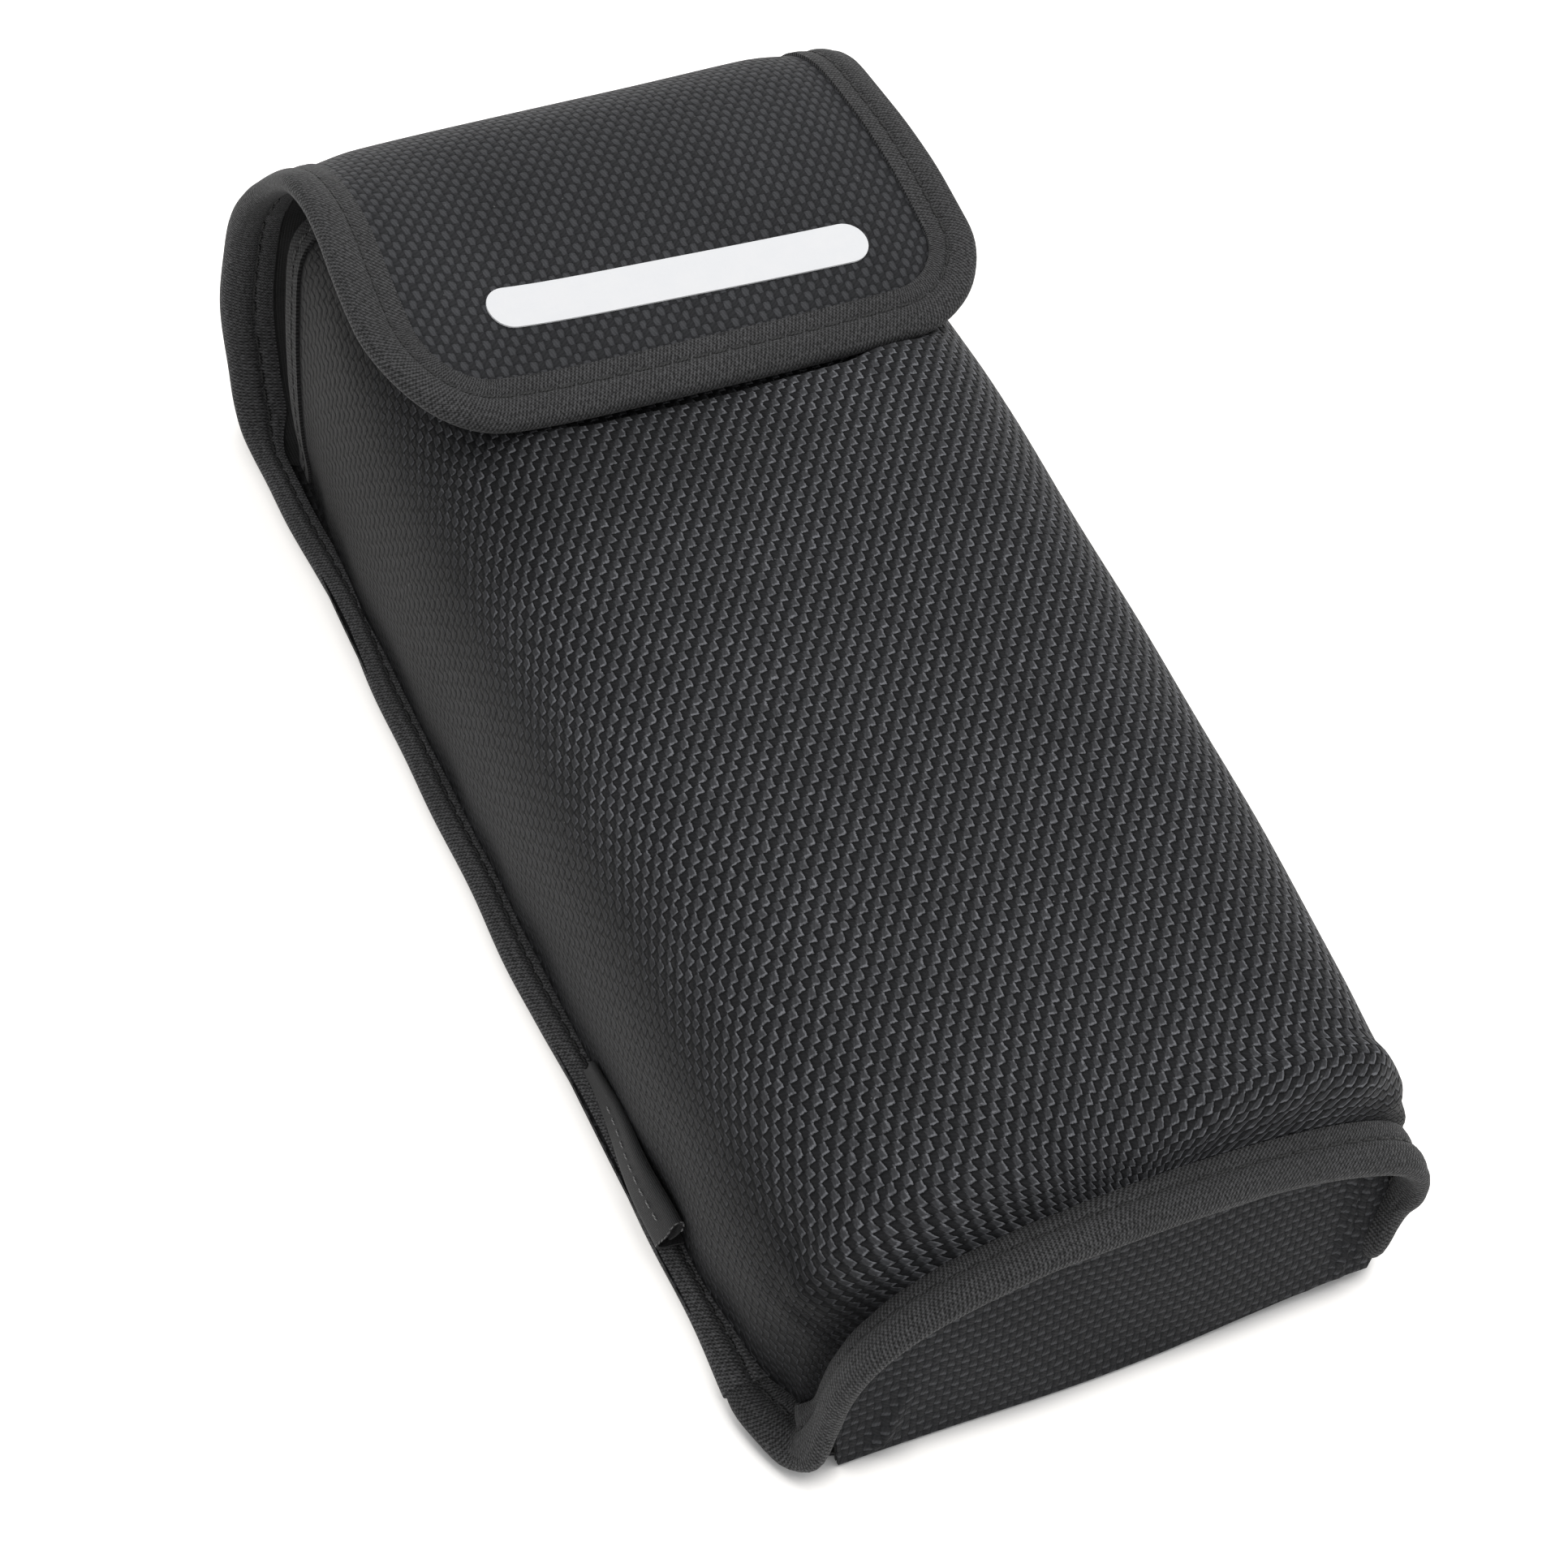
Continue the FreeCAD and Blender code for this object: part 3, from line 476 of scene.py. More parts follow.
def foam_material(name):
    """Closed-cell foam with a fine pitted skin."""
    sh = Shader(name)
    sh.cloth()
    cells = sh.new("TexVoronoi")
    sh.put(sh.uv, cells.inputs["Vector"])
    cells.inputs["Scale"].default_value = 1.4
    far = cells.outputs["Distance"]
    color = sh.mix(sh.ease(far, 0.1, 0.7), grey(0.05), grey(0.11))
    return sh.done(color, 0.9, far, -0.0001, specular=0.2)


def thread_material(name, tone):
    """Two-ply sewing thread; its twist runs round each stitch."""
    sh = Shader(name)
    u, v = sh.cloth()
    ply = sh.math("SINE", sh.add(sh.mul(u, 9.0), sh.mul(v, 6.0)))
    fuzz = sh.noise(6.0, 2.0)
    relief = sh.add(ply, sh.mul(fuzz, 0.8))
    color = sh.mix(sh.ease(relief, -0.8, 1.4), grey(tone * 0.4), grey(tone * 1.3))
    return sh.done(color, 0.55, relief, 0.00005, specular=0.3)


def hook_material(name):
    """Rows of stiff nylon hooks on a woven ground."""
    sh = Shader(name)
    u, v = sh.cloth()
    row = sh.wave(v, 0.9)
    col = sh.wave(sh.add(u, sh.mul(row, 0.1)), 0.7)
    peg = sh.ease(sh.mul(sh.add(row, col), 0.5), 0.0, 0.85)
    fuzz = sh.noise(5.0, 2.0)
    relief = sh.add(peg, sh.mul(fuzz, 0.25))
    color = sh.mix(peg, grey(0.004), grey(0.05))
    return sh.done(color, sh.ease(peg, 0, 1, 0.8, 0.35), relief, 0.0004, specular=0.4)


def loop_material(name):
    """Brushed loop pile: a matt, curly fleece."""
    sh = Shader(name)
    sh.cloth()
    pile = sh.noise(2.2, 4.0, distortion=2.5)
    color = sh.mix(sh.ease(pile, 0.3, 0.7), grey(0.006), grey(0.05))
    return sh.done(color, 0.95, pile, 0.0008, specular=0.1, sheen=0.3, sheen_rough=0.6)


def ribbon_material(name, tone):
    """Smooth satin ribbon with very fine ribs along it."""
    sh = Shader(name)
    u, v = sh.cloth()
    rib = sh.wave(v, 0.3)
    fuzz = sh.noise(3.0, 3.0, 0.6)
    relief = sh.add(sh.mul(rib, 0.3), sh.mul(fuzz, 1.4))
    color = sh.mix(sh.ease(relief, 0.2, 1.2), grey(tone * 0.4), grey(tone * 1.7, 1.04))
    color = sh.lint(color, 2.2, 0.8, 0.86, 0.5, 0.16)
    return sh.done(color, 0.6, relief, 0.00006, specular=0.3, sheen=0.1, sheen_rough=0.4)


def label_material(name):
    """White printed transfer film: nearly smooth, with the cloth showing faintly through."""
    sh = Shader(name)
    u, v = sh.cloth()
    height = plain_weave(sh, u, v, WEAVE_ACROSS, WEAVE_ALONG, 0.5)[0]
    mottled = sh.noise(0.25, 3.0)
    color = sh.mix(sh.ease(mottled, 0.3, 0.7), (0.92, 0.93, 0.95, 1), (0.95, 0.955, 0.97, 1))
    rough = sh.ease(mottled, 0.3, 0.7, 0.42, 0.52)
    return sh.done(color, rough, sh.add(sh.mul(height, 0.25), sh.mul(mottled, 0.6)), 0.00006, specular=0.4)


WALL_FADE = 14.0
RIB_PITCH = 0.62
RIB_CROSS = 0.5
WEAVE_ACROSS = 1.16
WEAVE_ALONG = 1.5
# The three nylons are one cloth whose tones differ to paint light and shade: each panel's tone follows how it
# faces the light.
nylon_front = nylon_material("nylon_front", 0.143, 0.046, 0.0145, wall_shade_from=42.0)
nylon = nylon_material("nylon_strip", 0.0, 0.044, 0.031)
nylon_end = nylon_material("nylon_end", 0.0, 0.006, 0.027, dash_highlight_tone=0.052)
tape = tape_material("tape", 0.052)
# The mouth's tape is this tape painted darker, a painted shadow of the flap.
painted_shade_mouth_tape = tape_material("mouth_tape", 0.014)
# The seams' tape is this tape painted lighter: painted light.
painted_light_seam_tape = tape_material("painted_light_seam_tape", 0.07)
lining = lining_material("lining", 0.022)
foam = foam_material("padding")
thread = thread_material("thread", 0.03)
pale_thread = thread_material("tag_thread", 0.26)
hook = hook_material("hook")
loop_pile = loop_material("loop")
ribbon = ribbon_material("ribbon", 0.021)
label_film = label_material("label")

# ---- sizes from the CAD boxes

HALF = float(cad_high.x) / MM
END_Y = float(cad_low.y) / MM
COVER = 0.8
LINING = 0.6
PADDED = 4.0
FOAM_GAP = 0.06
# The most of a thin edge that the cover and the lining may take.
COVER_SHARE = 0.42
LINING_SHARE = 0.3
TAPE = 0.5
NOSE = 1.4
CUT = HALF - NOSE
FLANGE_STACK = 1.6
EDGE_STACK = 2.0
TAPE_COVER = 6.6
STITCH_INSET = 3.5
MOUTH_V = 92.0
RIM_V = -105.4
SEAM_V = -100.6

# ---- the long strip: back, bridge and flap
# Three outlines of the strip's outer face, as (y, z): its left edge, its middle and its right edge.

FLOOR_RUN = [
    (END_Y, 0.15), (-80, 0.0), (-40, 0.0), (0, 0.0), (40, 0.0), (70, 0.0), (84, 0.05), (91, 0.35),
    (96.3, 1.6), (100.5, 4.8), (104, 11.7), (106.2, 20.6), (106.75, 29),
]
LEFT_RUN = [
    (105.2, 41), (100, 51.6), (95.3, 57.8), (89.9, 63.6), (83.2, 69.2), (75.6, 71.6),
    (67.25, 71.3), (59.25, 69.6), (50.65, 67.3), (42.5, 65.9), (35.7, 65.0),
]
MID_RUN = [
    (104.9, 41), (100.3, 51.9), (95.4, 58.7), (89.0, 63.2), (81.0, 65.5), (73.0, 66.0),
    (65.0, 65.0), (57.0, 63.3), (49.0, 61.5), (41.6, 60.1), (35.7, 59.2),
]
RIGHT_RUN = [
    (105.0, 41), (102.2, 51.9), (97.8, 57.9), (91.9, 61.4), (84, 63.2), (76, 63.8),
    (67, 63.3), (58.5, 62.6), (50, 61.6), (43.2, 60.2), (37.9, 59.4),
]
strip_left = np.array(FLOOR_RUN + LEFT_RUN, float)
strip_mid = np.array(FLOOR_RUN + MID_RUN, float)
strip_right = np.array(FLOOR_RUN + RIGHT_RUN, float)
strip_keys = run_length(strip_mid)
STRIP_LENGTH = strip_keys[-1]
FLAP_RADIUS = 16.0
BACK_RADIUS = 13.0
CREST_S = 256.0
CREST_WIDTH = 17.0
CREST_HEIGHT = 1.9
# How far the left edge strays outward, at distances along the strip.
LEFT_WAVE = np.array([
    (0, -0.3), (11, 0.1), (20, 0.1), (32, 0.0), (49, 0.1), (65, -0.8), (79, 0.4), (95, 0.7),
    (104, 0.6), (118, 0.0), (135, 0.0), (157, -0.3), (173, -0.6), (184, 0.0), (195, -0.2),
    (212, 0.7), (226, 1.0), (240, 0.6), (255, 0.0), (275, 0.0), (400, 0.0),
])
LEFT_WAVE_END = 400


def strip_at(x, s):
    """The strip's outer face at x across and s along, without its quilting."""
    x, s = np.broadcast_arrays(np.asarray(x, float), np.asarray(s, float))
    mid = hermite(strip_keys, strip_mid, s)
    left = hermite(strip_keys, strip_left, s)
    right = hermite(strip_keys, strip_right, s)
    lift_left = (np.clip(-x / CUT, 0, None) ** 4.5)[..., None]
    lift_right = (np.clip(x / CUT, 0, None) ** 3.0)[..., None]
    yz = mid + (left - mid) * lift_left + (right - mid) * lift_right
    crest = bell(s, CREST_S, CREST_WIDTH) * (CREST_HEIGHT + 0.024 * x)
    crest = crest * (1 - np.clip(np.abs(x) / CUT, 0, 1) ** 6)
    wavy = 0.28 * np.sin(s / 9.5 + 0.6) - 0.15 + 0.2 * np.sin(s / 4.3 + x * 0.02)
    wavy = wavy + hermite(*LEFT_WAVE.T, np.clip(s, 0, LEFT_WAVE_END)) * (x < 0)
    wide = x + np.sign(x) * (np.abs(x) / CUT) ** 4 * wavy
    return np.stack([wide, yz[..., 0] + 0.77 * crest, yz[..., 1] + 0.64 * crest], axis=-1)


def strip_normal(x, s):
    step = 0.25
    across = strip_at(x + step, s) - strip_at(x - step, s)
    along = strip_at(x, s + step) - strip_at(x, s - step)
    return unit(np.cross(along, across))


def strip_s(y, z):
    """How far along the strip's middle line the point nearest (y, z) is."""
    fine = np.linspace(0, STRIP_LENGTH, 4000)
    line = hermite(strip_keys, strip_mid, fine)
    return float(fine[np.argmin(np.hypot(line[:, 0] - y, line[:, 1] - z))])


def edge_distance(x, s):
    """Distance in the flat cut from its nearest edge."""
    x, s = np.broadcast_arrays(np.asarray(x, float), np.asarray(s, float))
    side = CUT - np.abs(x)
    result = np.minimum.reduce([side, STRIP_LENGTH - s, s])
    for radius, run in ((FLAP_RADIUS, STRIP_LENGTH - s), (BACK_RADIUS, s)):
        corner = (side < radius) & (run < radius)
        result = np.where(corner, radius - np.hypot(radius - side, radius - run), result)
    return result


MOUTH_S = strip_s(93, 0.5)
SPLIT_LOWER = strip_s(105.8, 18.5)
SPLIT_UPPER = strip_s(103.4, 45)


def stack_at(s):
    """Thickness inside the edge tape: two thin flanges on the body, the strip alone beyond it."""
    return FLANGE_STACK + (EDGE_STACK - FLANGE_STACK) * smooth(MOUTH_S - 4, MOUTH_S + 6, s)


def strip_sink(x, s):
    return 0.62 - 0.62 * smooth(5.5, 15, edge_distance(x, s))


def strip_thick(x, s):
    own = 0.5 + 0.5 * smooth(MOUTH_S - 2, MOUTH_S + 4, s)
    thin = stack_at(s) * own
    return thin + (PADDED - thin) * smooth(6, 17, edge_distance(x, s))


def strip_faces(x, s):
    """Points on the strip's outer and inner face, and the outward normal."""
    normal = strip_normal(x, s)
    quilt = 0.22 * np.sin(x / 11.0 + 1.3) * np.sin(s / 14.0) * smooth(10, 22, edge_distance(x, s))
    floor = smooth(2, 14, strip_at(x, s)[..., 2])
    outer = strip_at(x, s) - normal * (strip_sink(x, s) - quilt * floor)[..., None]
    return outer, outer - normal * strip_thick(x, s)[..., None], normal


def strip_grid(start, end, columns, inset=0.0):
    """Flat places over the strip from start to end, narrowing round its corners."""
    low, high = inset, STRIP_LENGTH - inset
    flap_radius, back_radius = FLAP_RADIUS - inset * 0.6, BACK_RADIUS - inset * 0.6
    stops = []
    s = max(start, low)
    if start <= low:
        bend = np.linspace(0, math.pi / 2, 9)
        stops += list(low + back_radius * (1 - np.cos(bend)))
        s = low + back_radius
    last = min(end, high)
    body_end = last - flap_radius if end >= high else last
    while s < body_end - 0.8:
        flat = s < strip_s(80, 0)
        s = min(s + (2.6 if flat else 1.35), body_end)
        stops.append(s)
    if start > low:
        stops.insert(0, start)
    if abs(stops[-1] - body_end) > 1e-6:
        stops[-1] = body_end
    if end >= high:
        bend = np.linspace(0, math.pi / 2, 14)[1:]
        stops += list(body_end + flap_radius * np.sin(bend))
    s = np.array(stops)
    wide = np.full(len(s), CUT - inset)
    over = np.clip(s - (high - flap_radius), 0, flap_radius)
    wide -= flap_radius - np.sqrt(flap_radius**2 - over**2)
    over = np.clip(low + back_radius - s, 0, back_radius)
    wide -= back_radius - np.sqrt(back_radius**2 - over**2)
    across = np.linspace(-1, 1, columns)
    x = across[None, :] * wide[:, None]
    return x, np.broadcast_to(s[:, None], x.shape)


# ---- the front panel: an arch over the battery


def half_section(height, foot, crown, lean=0.0):
    """One half of the arch from its flange's edge to the middle line, as distance out and height."""
    return [
        (foot + 4.2, 2.2), (foot + 0.5, 2.55), (foot + 0.7, 6.0), (foot + 1.9 + lean, 13.5),
        (foot + 2.5 + lean, 22.5), (foot + 2.1 + lean, height * 0.6), (foot + 0.5, height - 13.4),
        (foot - 4.3, height - 5.6), (foot - 12.5, height - 1.2), (foot - 25.5, height + 0.45 * crown),
        (0.0, height + crown),
    ]


def full_section(left, right):
    points = [(-x, z) for x, z in left]
    points += [(x, z) for x, z in reversed(right[:-1])]
    return points


SEAM_SECTION = [
    (-48.0, 2.2), (-41.8, 2.6), (-41.0, 6.5), (-40.4, 12), (-39.2, 19.2), (-36.6, 25.0),
    (-32.6, 29.6), (-27.0, 33.2), (-19, 35.6), (-9, 37.2), (2, 38.1),
    (13, 38.2), (25, 37.2), (33, 35.6), (39.8, 33.2), (44.8, 29.9),
    (48.0, 24.6), (48.6, 16.5), (47.6, 8), (45.6, 2.7), (48.6, 2.2),
]
RIM_SECTION = [
    (-44.6, 1.8), (-43.9, 3.6), (-43.5, 9), (-43.0, 15.5), (-41.4, 22.4), (-38.2, 28.0),
    (-33.2, 32.3), (-27, 35.3), (-17.5, 37.8), (-8, 38.9), (1, 39.2),
    (11, 38.6), (21.5, 37.1), (29.5, 35.4), (37.4, 33.0), (44.0, 29.9),
    (48.2, 24.6), (49.0, 17.5), (47.4, 12), (45.0, 6.8), (43.8, 3.2),
]
MOUTH_LEAN = [
    -4.0, -6.0, -7.0, -6.4, -4.6, -1.4, 1.6, -0.4, -2.8, -3.6, -3.6,
    -3.4, -2.4, 1.0, 4.6, 4.6, 1.8, -0.6, -2.6, -3.2, -3.0,
]
# Along the body: y, left and right shoulder height, left and right foot, crown of the middle.
BODY_STATIONS = [
    (-96.6, 45.2, 45.0, 41.8, 47.6, 1.0),
    (-91.5, 48.3, 47.1, 43.6, 46.6, 1.1),
    (-82.0, 50.0, 49.5, 45.0, 46.3, 1.2),
    (-60.0, 52.2, 52.8, 45.5, 46.0, 1.3),
    (-36.0, 54.3, 55.6, 45.5, 45.7, 1.2),
    (-10.0, 55.7, 57.3, 45.5, 45.6, 1.0),
    (15.0, 57.2, 59.1, 45.4, 45.5, 0.2),
    (39.0, 58.2, 59.6, 45.3, 45.4, -2.0),
    (60.0, 59.5, 58.2, 44.9, 45.2, -3.0),
    (80.0, 60.3, 58.4, 43.9, 45.0, -2.6),
    (MOUTH_V, 57.6, 56.6, 43.0, 44.8, -2.0),
]


def front_table():
    stations = [RIM_V, SEAM_V, -99.3]
    first = BODY_STATIONS[0]
    left, right = (half_section(first[i], first[i + 2], first[5]) for i in (1, 2))
    puff = np.array(full_section(left, right))
    seam = np.array(SEAM_SECTION, float)
    sections = [np.array(RIM_SECTION, float), seam, seam * 0.45 + puff * 0.55]
    for y, high_left, high_right, foot_left, foot_right, crown in BODY_STATIONS:
        stations.append(y)
        left = half_section(high_left, foot_left, crown)
        right = half_section(high_right, foot_right, crown)
        sections.append(np.array(full_section(left, right)))
    table = np.zeros((len(stations), 21, 3))
    lean = np.array(MOUTH_LEAN)
    for row, (y, section) in enumerate(zip(stations, sections)):
        table[row, :, 0] = section[:, 0]
        table[row, :, 1] = y + lean * smooth(58, MOUTH_V, y)
        table[row, :, 2] = section[:, 1]
    return np.array(stations), table


front_stations, front_points = front_table()
front_keys = run_length(front_points[6][:, [0, 2]])
front_keys -= front_keys[10]
FLANGE_KEY = float(front_keys[1])
FRONT_EDGE = float(front_keys[0])


def front_at(u, v):
    """The front panel's outer face on a grid: u across in mm from its middle line, v along."""
    across = hermite(front_keys, np.swapaxes(front_points, 0, 1), u)
    return hermite(front_stations, np.swapaxes(across, 0, 1), v)


NO_FLAP = 200.0
CLEAR = 1.1


def flap_ceiling(x, y):
    """Height of the flap's inner face over each place, rising away from its edge."""
    columns = np.linspace(-HALF, HALF, 61)
    inner = strip_faces(*np.meshgrid(columns, np.linspace(strip_s(99, 52), STRIP_LENGTH, 90)))[1]
    heights = np.full(x.shape, NO_FLAP)
    column = np.clip(np.round((x + HALF) / (2 * HALF) * 60).astype(int), 0, 60)
    for c in np.unique(column):
        here = column == c
        ys, zs = inner[::-1, c, 1], inner[::-1, c, 2]
        beyond = np.clip(ys[0] - y[here], 0, 20)
        heights[here] = np.interp(y[here], ys, zs, right=NO_FLAP) + 0.3 * beyond + 0.35 * beyond**2
    return heights


def front_surface(u, v):
    """Outer face with its puckers, kept under the flap."""
    points = front_at(u, v)
    normal = grid_normals(points)
    grid_u, grid_v = np.meshgrid(u, v)
    near_seam = np.exp(-np.clip(grid_v - SEAM_V, 0, None) / 6.0) * smooth(SEAM_V - 1, SEAM_V + 3, grid_v)
    pucker = 0.38 * near_seam * np.sin(grid_u / 1.9 + 0.8 * np.sin(grid_u / 9.0))
    rise = np.abs(grid_u) - abs(FLANGE_KEY)
    near_foot = np.exp(-np.clip(-rise, 0, None) / 9.0) * smooth(1.0, -4.0, rise)
    side = 0.3 * near_foot * np.sin(grid_v / 3.3 + np.sin(grid_v / 13.0) + np.sign(grid_u))
    calm = smooth(0, 20, -rise) * smooth(SEAM_V, SEAM_V + 16, grid_v) * smooth(MOUTH_V, MOUTH_V - 12, grid_v)
    soft = 0.32 * np.sin(grid_u / 17.0 + 0.5) * np.sin(grid_v / 23.0 + 1.0)
    soft = soft + 0.22 * np.sin(grid_u / 8.3 + grid_v / 15.0) * np.sin(grid_v / 11.0)
    points = points + normal * (pucker + side + soft * calm)[..., None]
    roof = flap_ceiling(points[..., 0], points[..., 1]) - CLEAR - 1.4 * smooth(26, 20, np.abs(points[..., 0]))
    gap = roof - points[..., 2]
    pressed = (points[..., 2] > 30) & (gap <= 12)
    points[..., 2] += np.where(pressed, 0.5 * (gap - np.sqrt(gap * gap + 1.0)), 0.0)
    return points


def front_thick(u, v):
    grid_u, grid_v = np.meshgrid(u, v)
    inward = abs(FLANGE_KEY) - np.abs(grid_u)
    foot = smooth(-0.5, 12, inward)
    rim = smooth(SEAM_V - 1, SEAM_V + 11, grid_v)
    mouth = smooth(MOUTH_V - 6, MOUTH_V - 17, grid_v)
    edge = 0.75 + 0.55 * smooth(-0.5, 6, inward)
    return edge + (PADDED - edge) * foot * rim * (0.25 + 0.75 * mouth)


def graded(low, high, step, fine_low, fine_high, fine):
    """Places from low to high, closer together between fine_low and fine_high."""
    stops = [low]
    while stops[-1] < high - 1e-6:
        here = stops[-1]
        size = fine if fine_low <= here < fine_high else step
        stops.append(min(here + size, high))
    if len(stops) > 2 and stops[-1] - stops[-2] < 0.4:
        stops.pop(-2)
    return np.array(stops)


def flat_area(points):
    """Area of a grid of points in square metres."""
    a, b = points[1:, 1:] - points[:-1, :-1], points[1:, :-1] - points[:-1, 1:]
    return float(np.linalg.norm(np.cross(a, b), axis=-1).sum() / 2) * MM * MM


def declare_sheet(outer):
    wide, long = (
        float(np.linalg.norm(np.diff(outer, axis=axis), axis=-1).sum(axis=axis).max()) * MM for axis in (1, 0)
    )
    area = min(flat_area(outer), wide * long)


def panel(name, sheet, soft, nodes, held, fill, fabric, flip=False, **moves):
    """A panel's cover, lining and padding; sheet and soft are (outer, normal, thickness, cloth)."""
    made = []
    for kind, slot, ending, grids, material in (
        ("_cover_cloth", "nylon", "_cover", sheet, fabric),
        ("_lining_cloth", "lining", "_lining", sheet, lining),
        ("_foam", "padding", "_padding", soft, foam),
    ):
        outer, normal, thick, cloth = grids
        thick = thick[..., None]
        cover = np.minimum(COVER, thick * COVER_SHARE)
        inside = np.minimum(LINING, thick * LINING_SHARE)
        top, under = {
            "nylon": (0.0, cover),
            "lining": (thick - inside, thick),
            "padding": (cover + FOAM_GAP, np.maximum(thick - (inside + FOAM_GAP), cover + FOAM_GAP + 0.12)),
        }[slot]
        obj = slab(name + kind, outer - normal * top, outer - normal * under, cloth, material, flip)
        made.append(finish_piece(obj, slot, [node + ending for node in nodes], **moves))
    for obj in made[:2]:
        declare_sheet(sheet[0])


front_u = np.linspace(FRONT_EDGE, -FRONT_EDGE, 131)
front_v = np.concatenate([
    graded(RIM_V, -80, 1.6, RIM_V, -86, 0.8), graded(-80, MOUTH_V, 1.6, 60, MOUTH_V, 1.3)[1:],
])
front_outer = front_surface(front_u, front_v)
front_normal = grid_normals(front_outer)
front_deep = front_thick(front_u, front_v)
grid_u, grid_v = np.meshgrid(front_u, front_v)
lengths = run_length(front_outer[:, len(front_u) // 2])
front_cloth = np.stack([grid_u, np.broadcast_to(lengths[:, None], grid_u.shape)], -1)
front_sheet = (front_outer, front_normal, front_deep, front_cloth)
keep_v = np.where((front_v > SEAM_V + 3) & (front_v < MOUTH_V - 7))[0]
keep_u = np.where(np.abs(front_u) < abs(FLANGE_KEY) - 3)[0]
pick = np.ix_(keep_v, keep_u)
front_soft = [part[pick] for part in front_sheet]
panel("front", front_sheet, front_soft, ["front"], "stretched", 0.8, nylon_front, body="pouch")

# ---- strip panels, in three lengths joined at the folds

FIRST_BLEND = ("pouch", "bridge_lower", (0, 0.0905, 0.001), (0, 0.1060, 0.0160))
MIDDLE_BLEND = ("bridge_lower", "bridge_upper", (0, 0.1058, 0.0215), (0, 0.1058, 0.0380))
FLAP_BLEND = ("bridge_upper", "flap_front", (0, 0.1010, 0.0495), (0, 0.0800, 0.0652))
LENGTHS = [
    ("back", 0.0, SPLIT_LOWER, FIRST_BLEND, ["back"], "laid"),
    ("bridge", SPLIT_LOWER, SPLIT_UPPER, MIDDLE_BLEND, ["bridge_lower", "bridge_upper"], "folded"),
    ("flap", SPLIT_UPPER, STRIP_LENGTH, FLAP_BLEND, ["flap"], "folded"),
]
for name, start, end, bend, nodes, held in LENGTHS:
    grids = []
    for columns, inset in ((63, 0.0), (33, 8.5)):
        x, s = strip_grid(start, end, columns, inset)
        outer, inner, normal = strip_faces(x, s)
        grids.append((outer, normal, strip_thick(x, s), np.stack([x, s], -1)))
    panel(name, *grids, nodes, held, 0.7, nylon, flip=True, blend=bend)

# ---- end panel under the rim

END_TOP = -100.2
END_FLOOR = -107.3
END_LEFT = -39.6
END_RIGHT = 45.4
# The seam under the rim from left to right, as (x, z).
END_SEAM = np.array([
    (-37.6, 24.0), (-33.5, 27.9), (-29.0, 30.4), (-22.5, 33.1), (-14.5, 35.0), (-7, 35.9), (1, 36.1),
    (10, 35.4), (19.5, 33.5), (27.5, 31.3), (35, 28.6), (41.5, 25.4), (45.2, 21.4),
])


def end_surface(across, up):
    """The end panel: recessed at the rim, flush with the rim's edge at the floor."""
    seam_x, seam_z = hermite(np.linspace(0, 1, len(END_SEAM)), END_SEAM, across).T
    left = hermite([0, 0.4, 1], [END_LEFT, -40.4, seam_x[0]], up)[:, None]
    right = hermite([0, 0.45, 1], [END_RIGHT, 47.8, seam_x[-1]], up)[:, None]
    A, B = np.meshgrid(across, up)
    x = (1 - A) * left + A * right + B * (seam_x - (1 - A) * seam_x[0] - A * seam_x[-1])
    z = B * seam_z + 0.25 + 1.5 * smooth(8, 44, x) * (1 - B) ** 3
    y = END_TOP + (END_FLOOR - END_TOP) * (1 - np.clip(z / 38, 0, 1)) ** 1.25
    y -= 0.8 * np.sin(math.pi * A) * np.sin(math.pi * B) + 0.8 * bell(A, 0.45, 0.25) * (1 - B) ** 4
    base = np.stack([x, y, z], -1)
    pleat = bell(x + 0.04 * z, 40.6, 0.8) - 0.7 * bell(x + 0.04 * z, 42.2, 0.9)
    fold = bell(x - 0.42 * z, -34.5, 1.5) * smooth(15, 3, z) * smooth(0.5, 2.5, z)
    ripple = 0.35 * np.sin(x / 5.5 + z / 7.0) * smooth(0, 6, z) * np.sin(math.pi * A)
    push = ripple - 1.1 * pleat * smooth(0.5, 7, z) - 1.1 * fold
    push *= smooth(0, 0.045, A) * smooth(0, 0.045, 1 - A)
    return base, base + push[..., None] * np.array([0, 1, 0])


end_a, end_b = np.linspace(0, 1, 90), np.linspace(0, 1, 40)
end_base, end_outer = end_surface(end_a, end_b)
A, B = np.meshgrid(end_a, end_b)
end_edge = np.minimum.reduce([A * 84, (1 - A) * 84, B * 36, (1 - B) * 36])
end_deep = 1.2 + 1.9 * smooth(1.5, 12, end_edge)
end_cloth = np.stack([end_outer[..., 0], end_outer[..., 2] * 1.02], -1)
end_sheet = (end_outer, grid_normals(end_base), end_deep, end_cloth)
pick = np.ix_(np.arange(4, 37), np.arange(4, 86))
end_soft = [part[pick] for part in end_sheet]
panel("end", end_sheet, end_soft, ["end"], "stretched", 0.6, nylon_end, body="pouch")

# ---- binding tape


def tape_shape(inset):
    """How far the tape stands off its panel: rolled at the nose, pulled in under the stitches."""
    inset = np.asarray(inset, float)
    roll = 0.34 * np.sin(np.clip(inset / STITCH_INSET, 0, 1) * math.pi) ** 0.8
    groove = -0.24 * bell(inset, STITCH_INSET, 0.42)
    inner = 0.12 * bell(inset, 5.2, 0.8)
    return roll + groove + inner


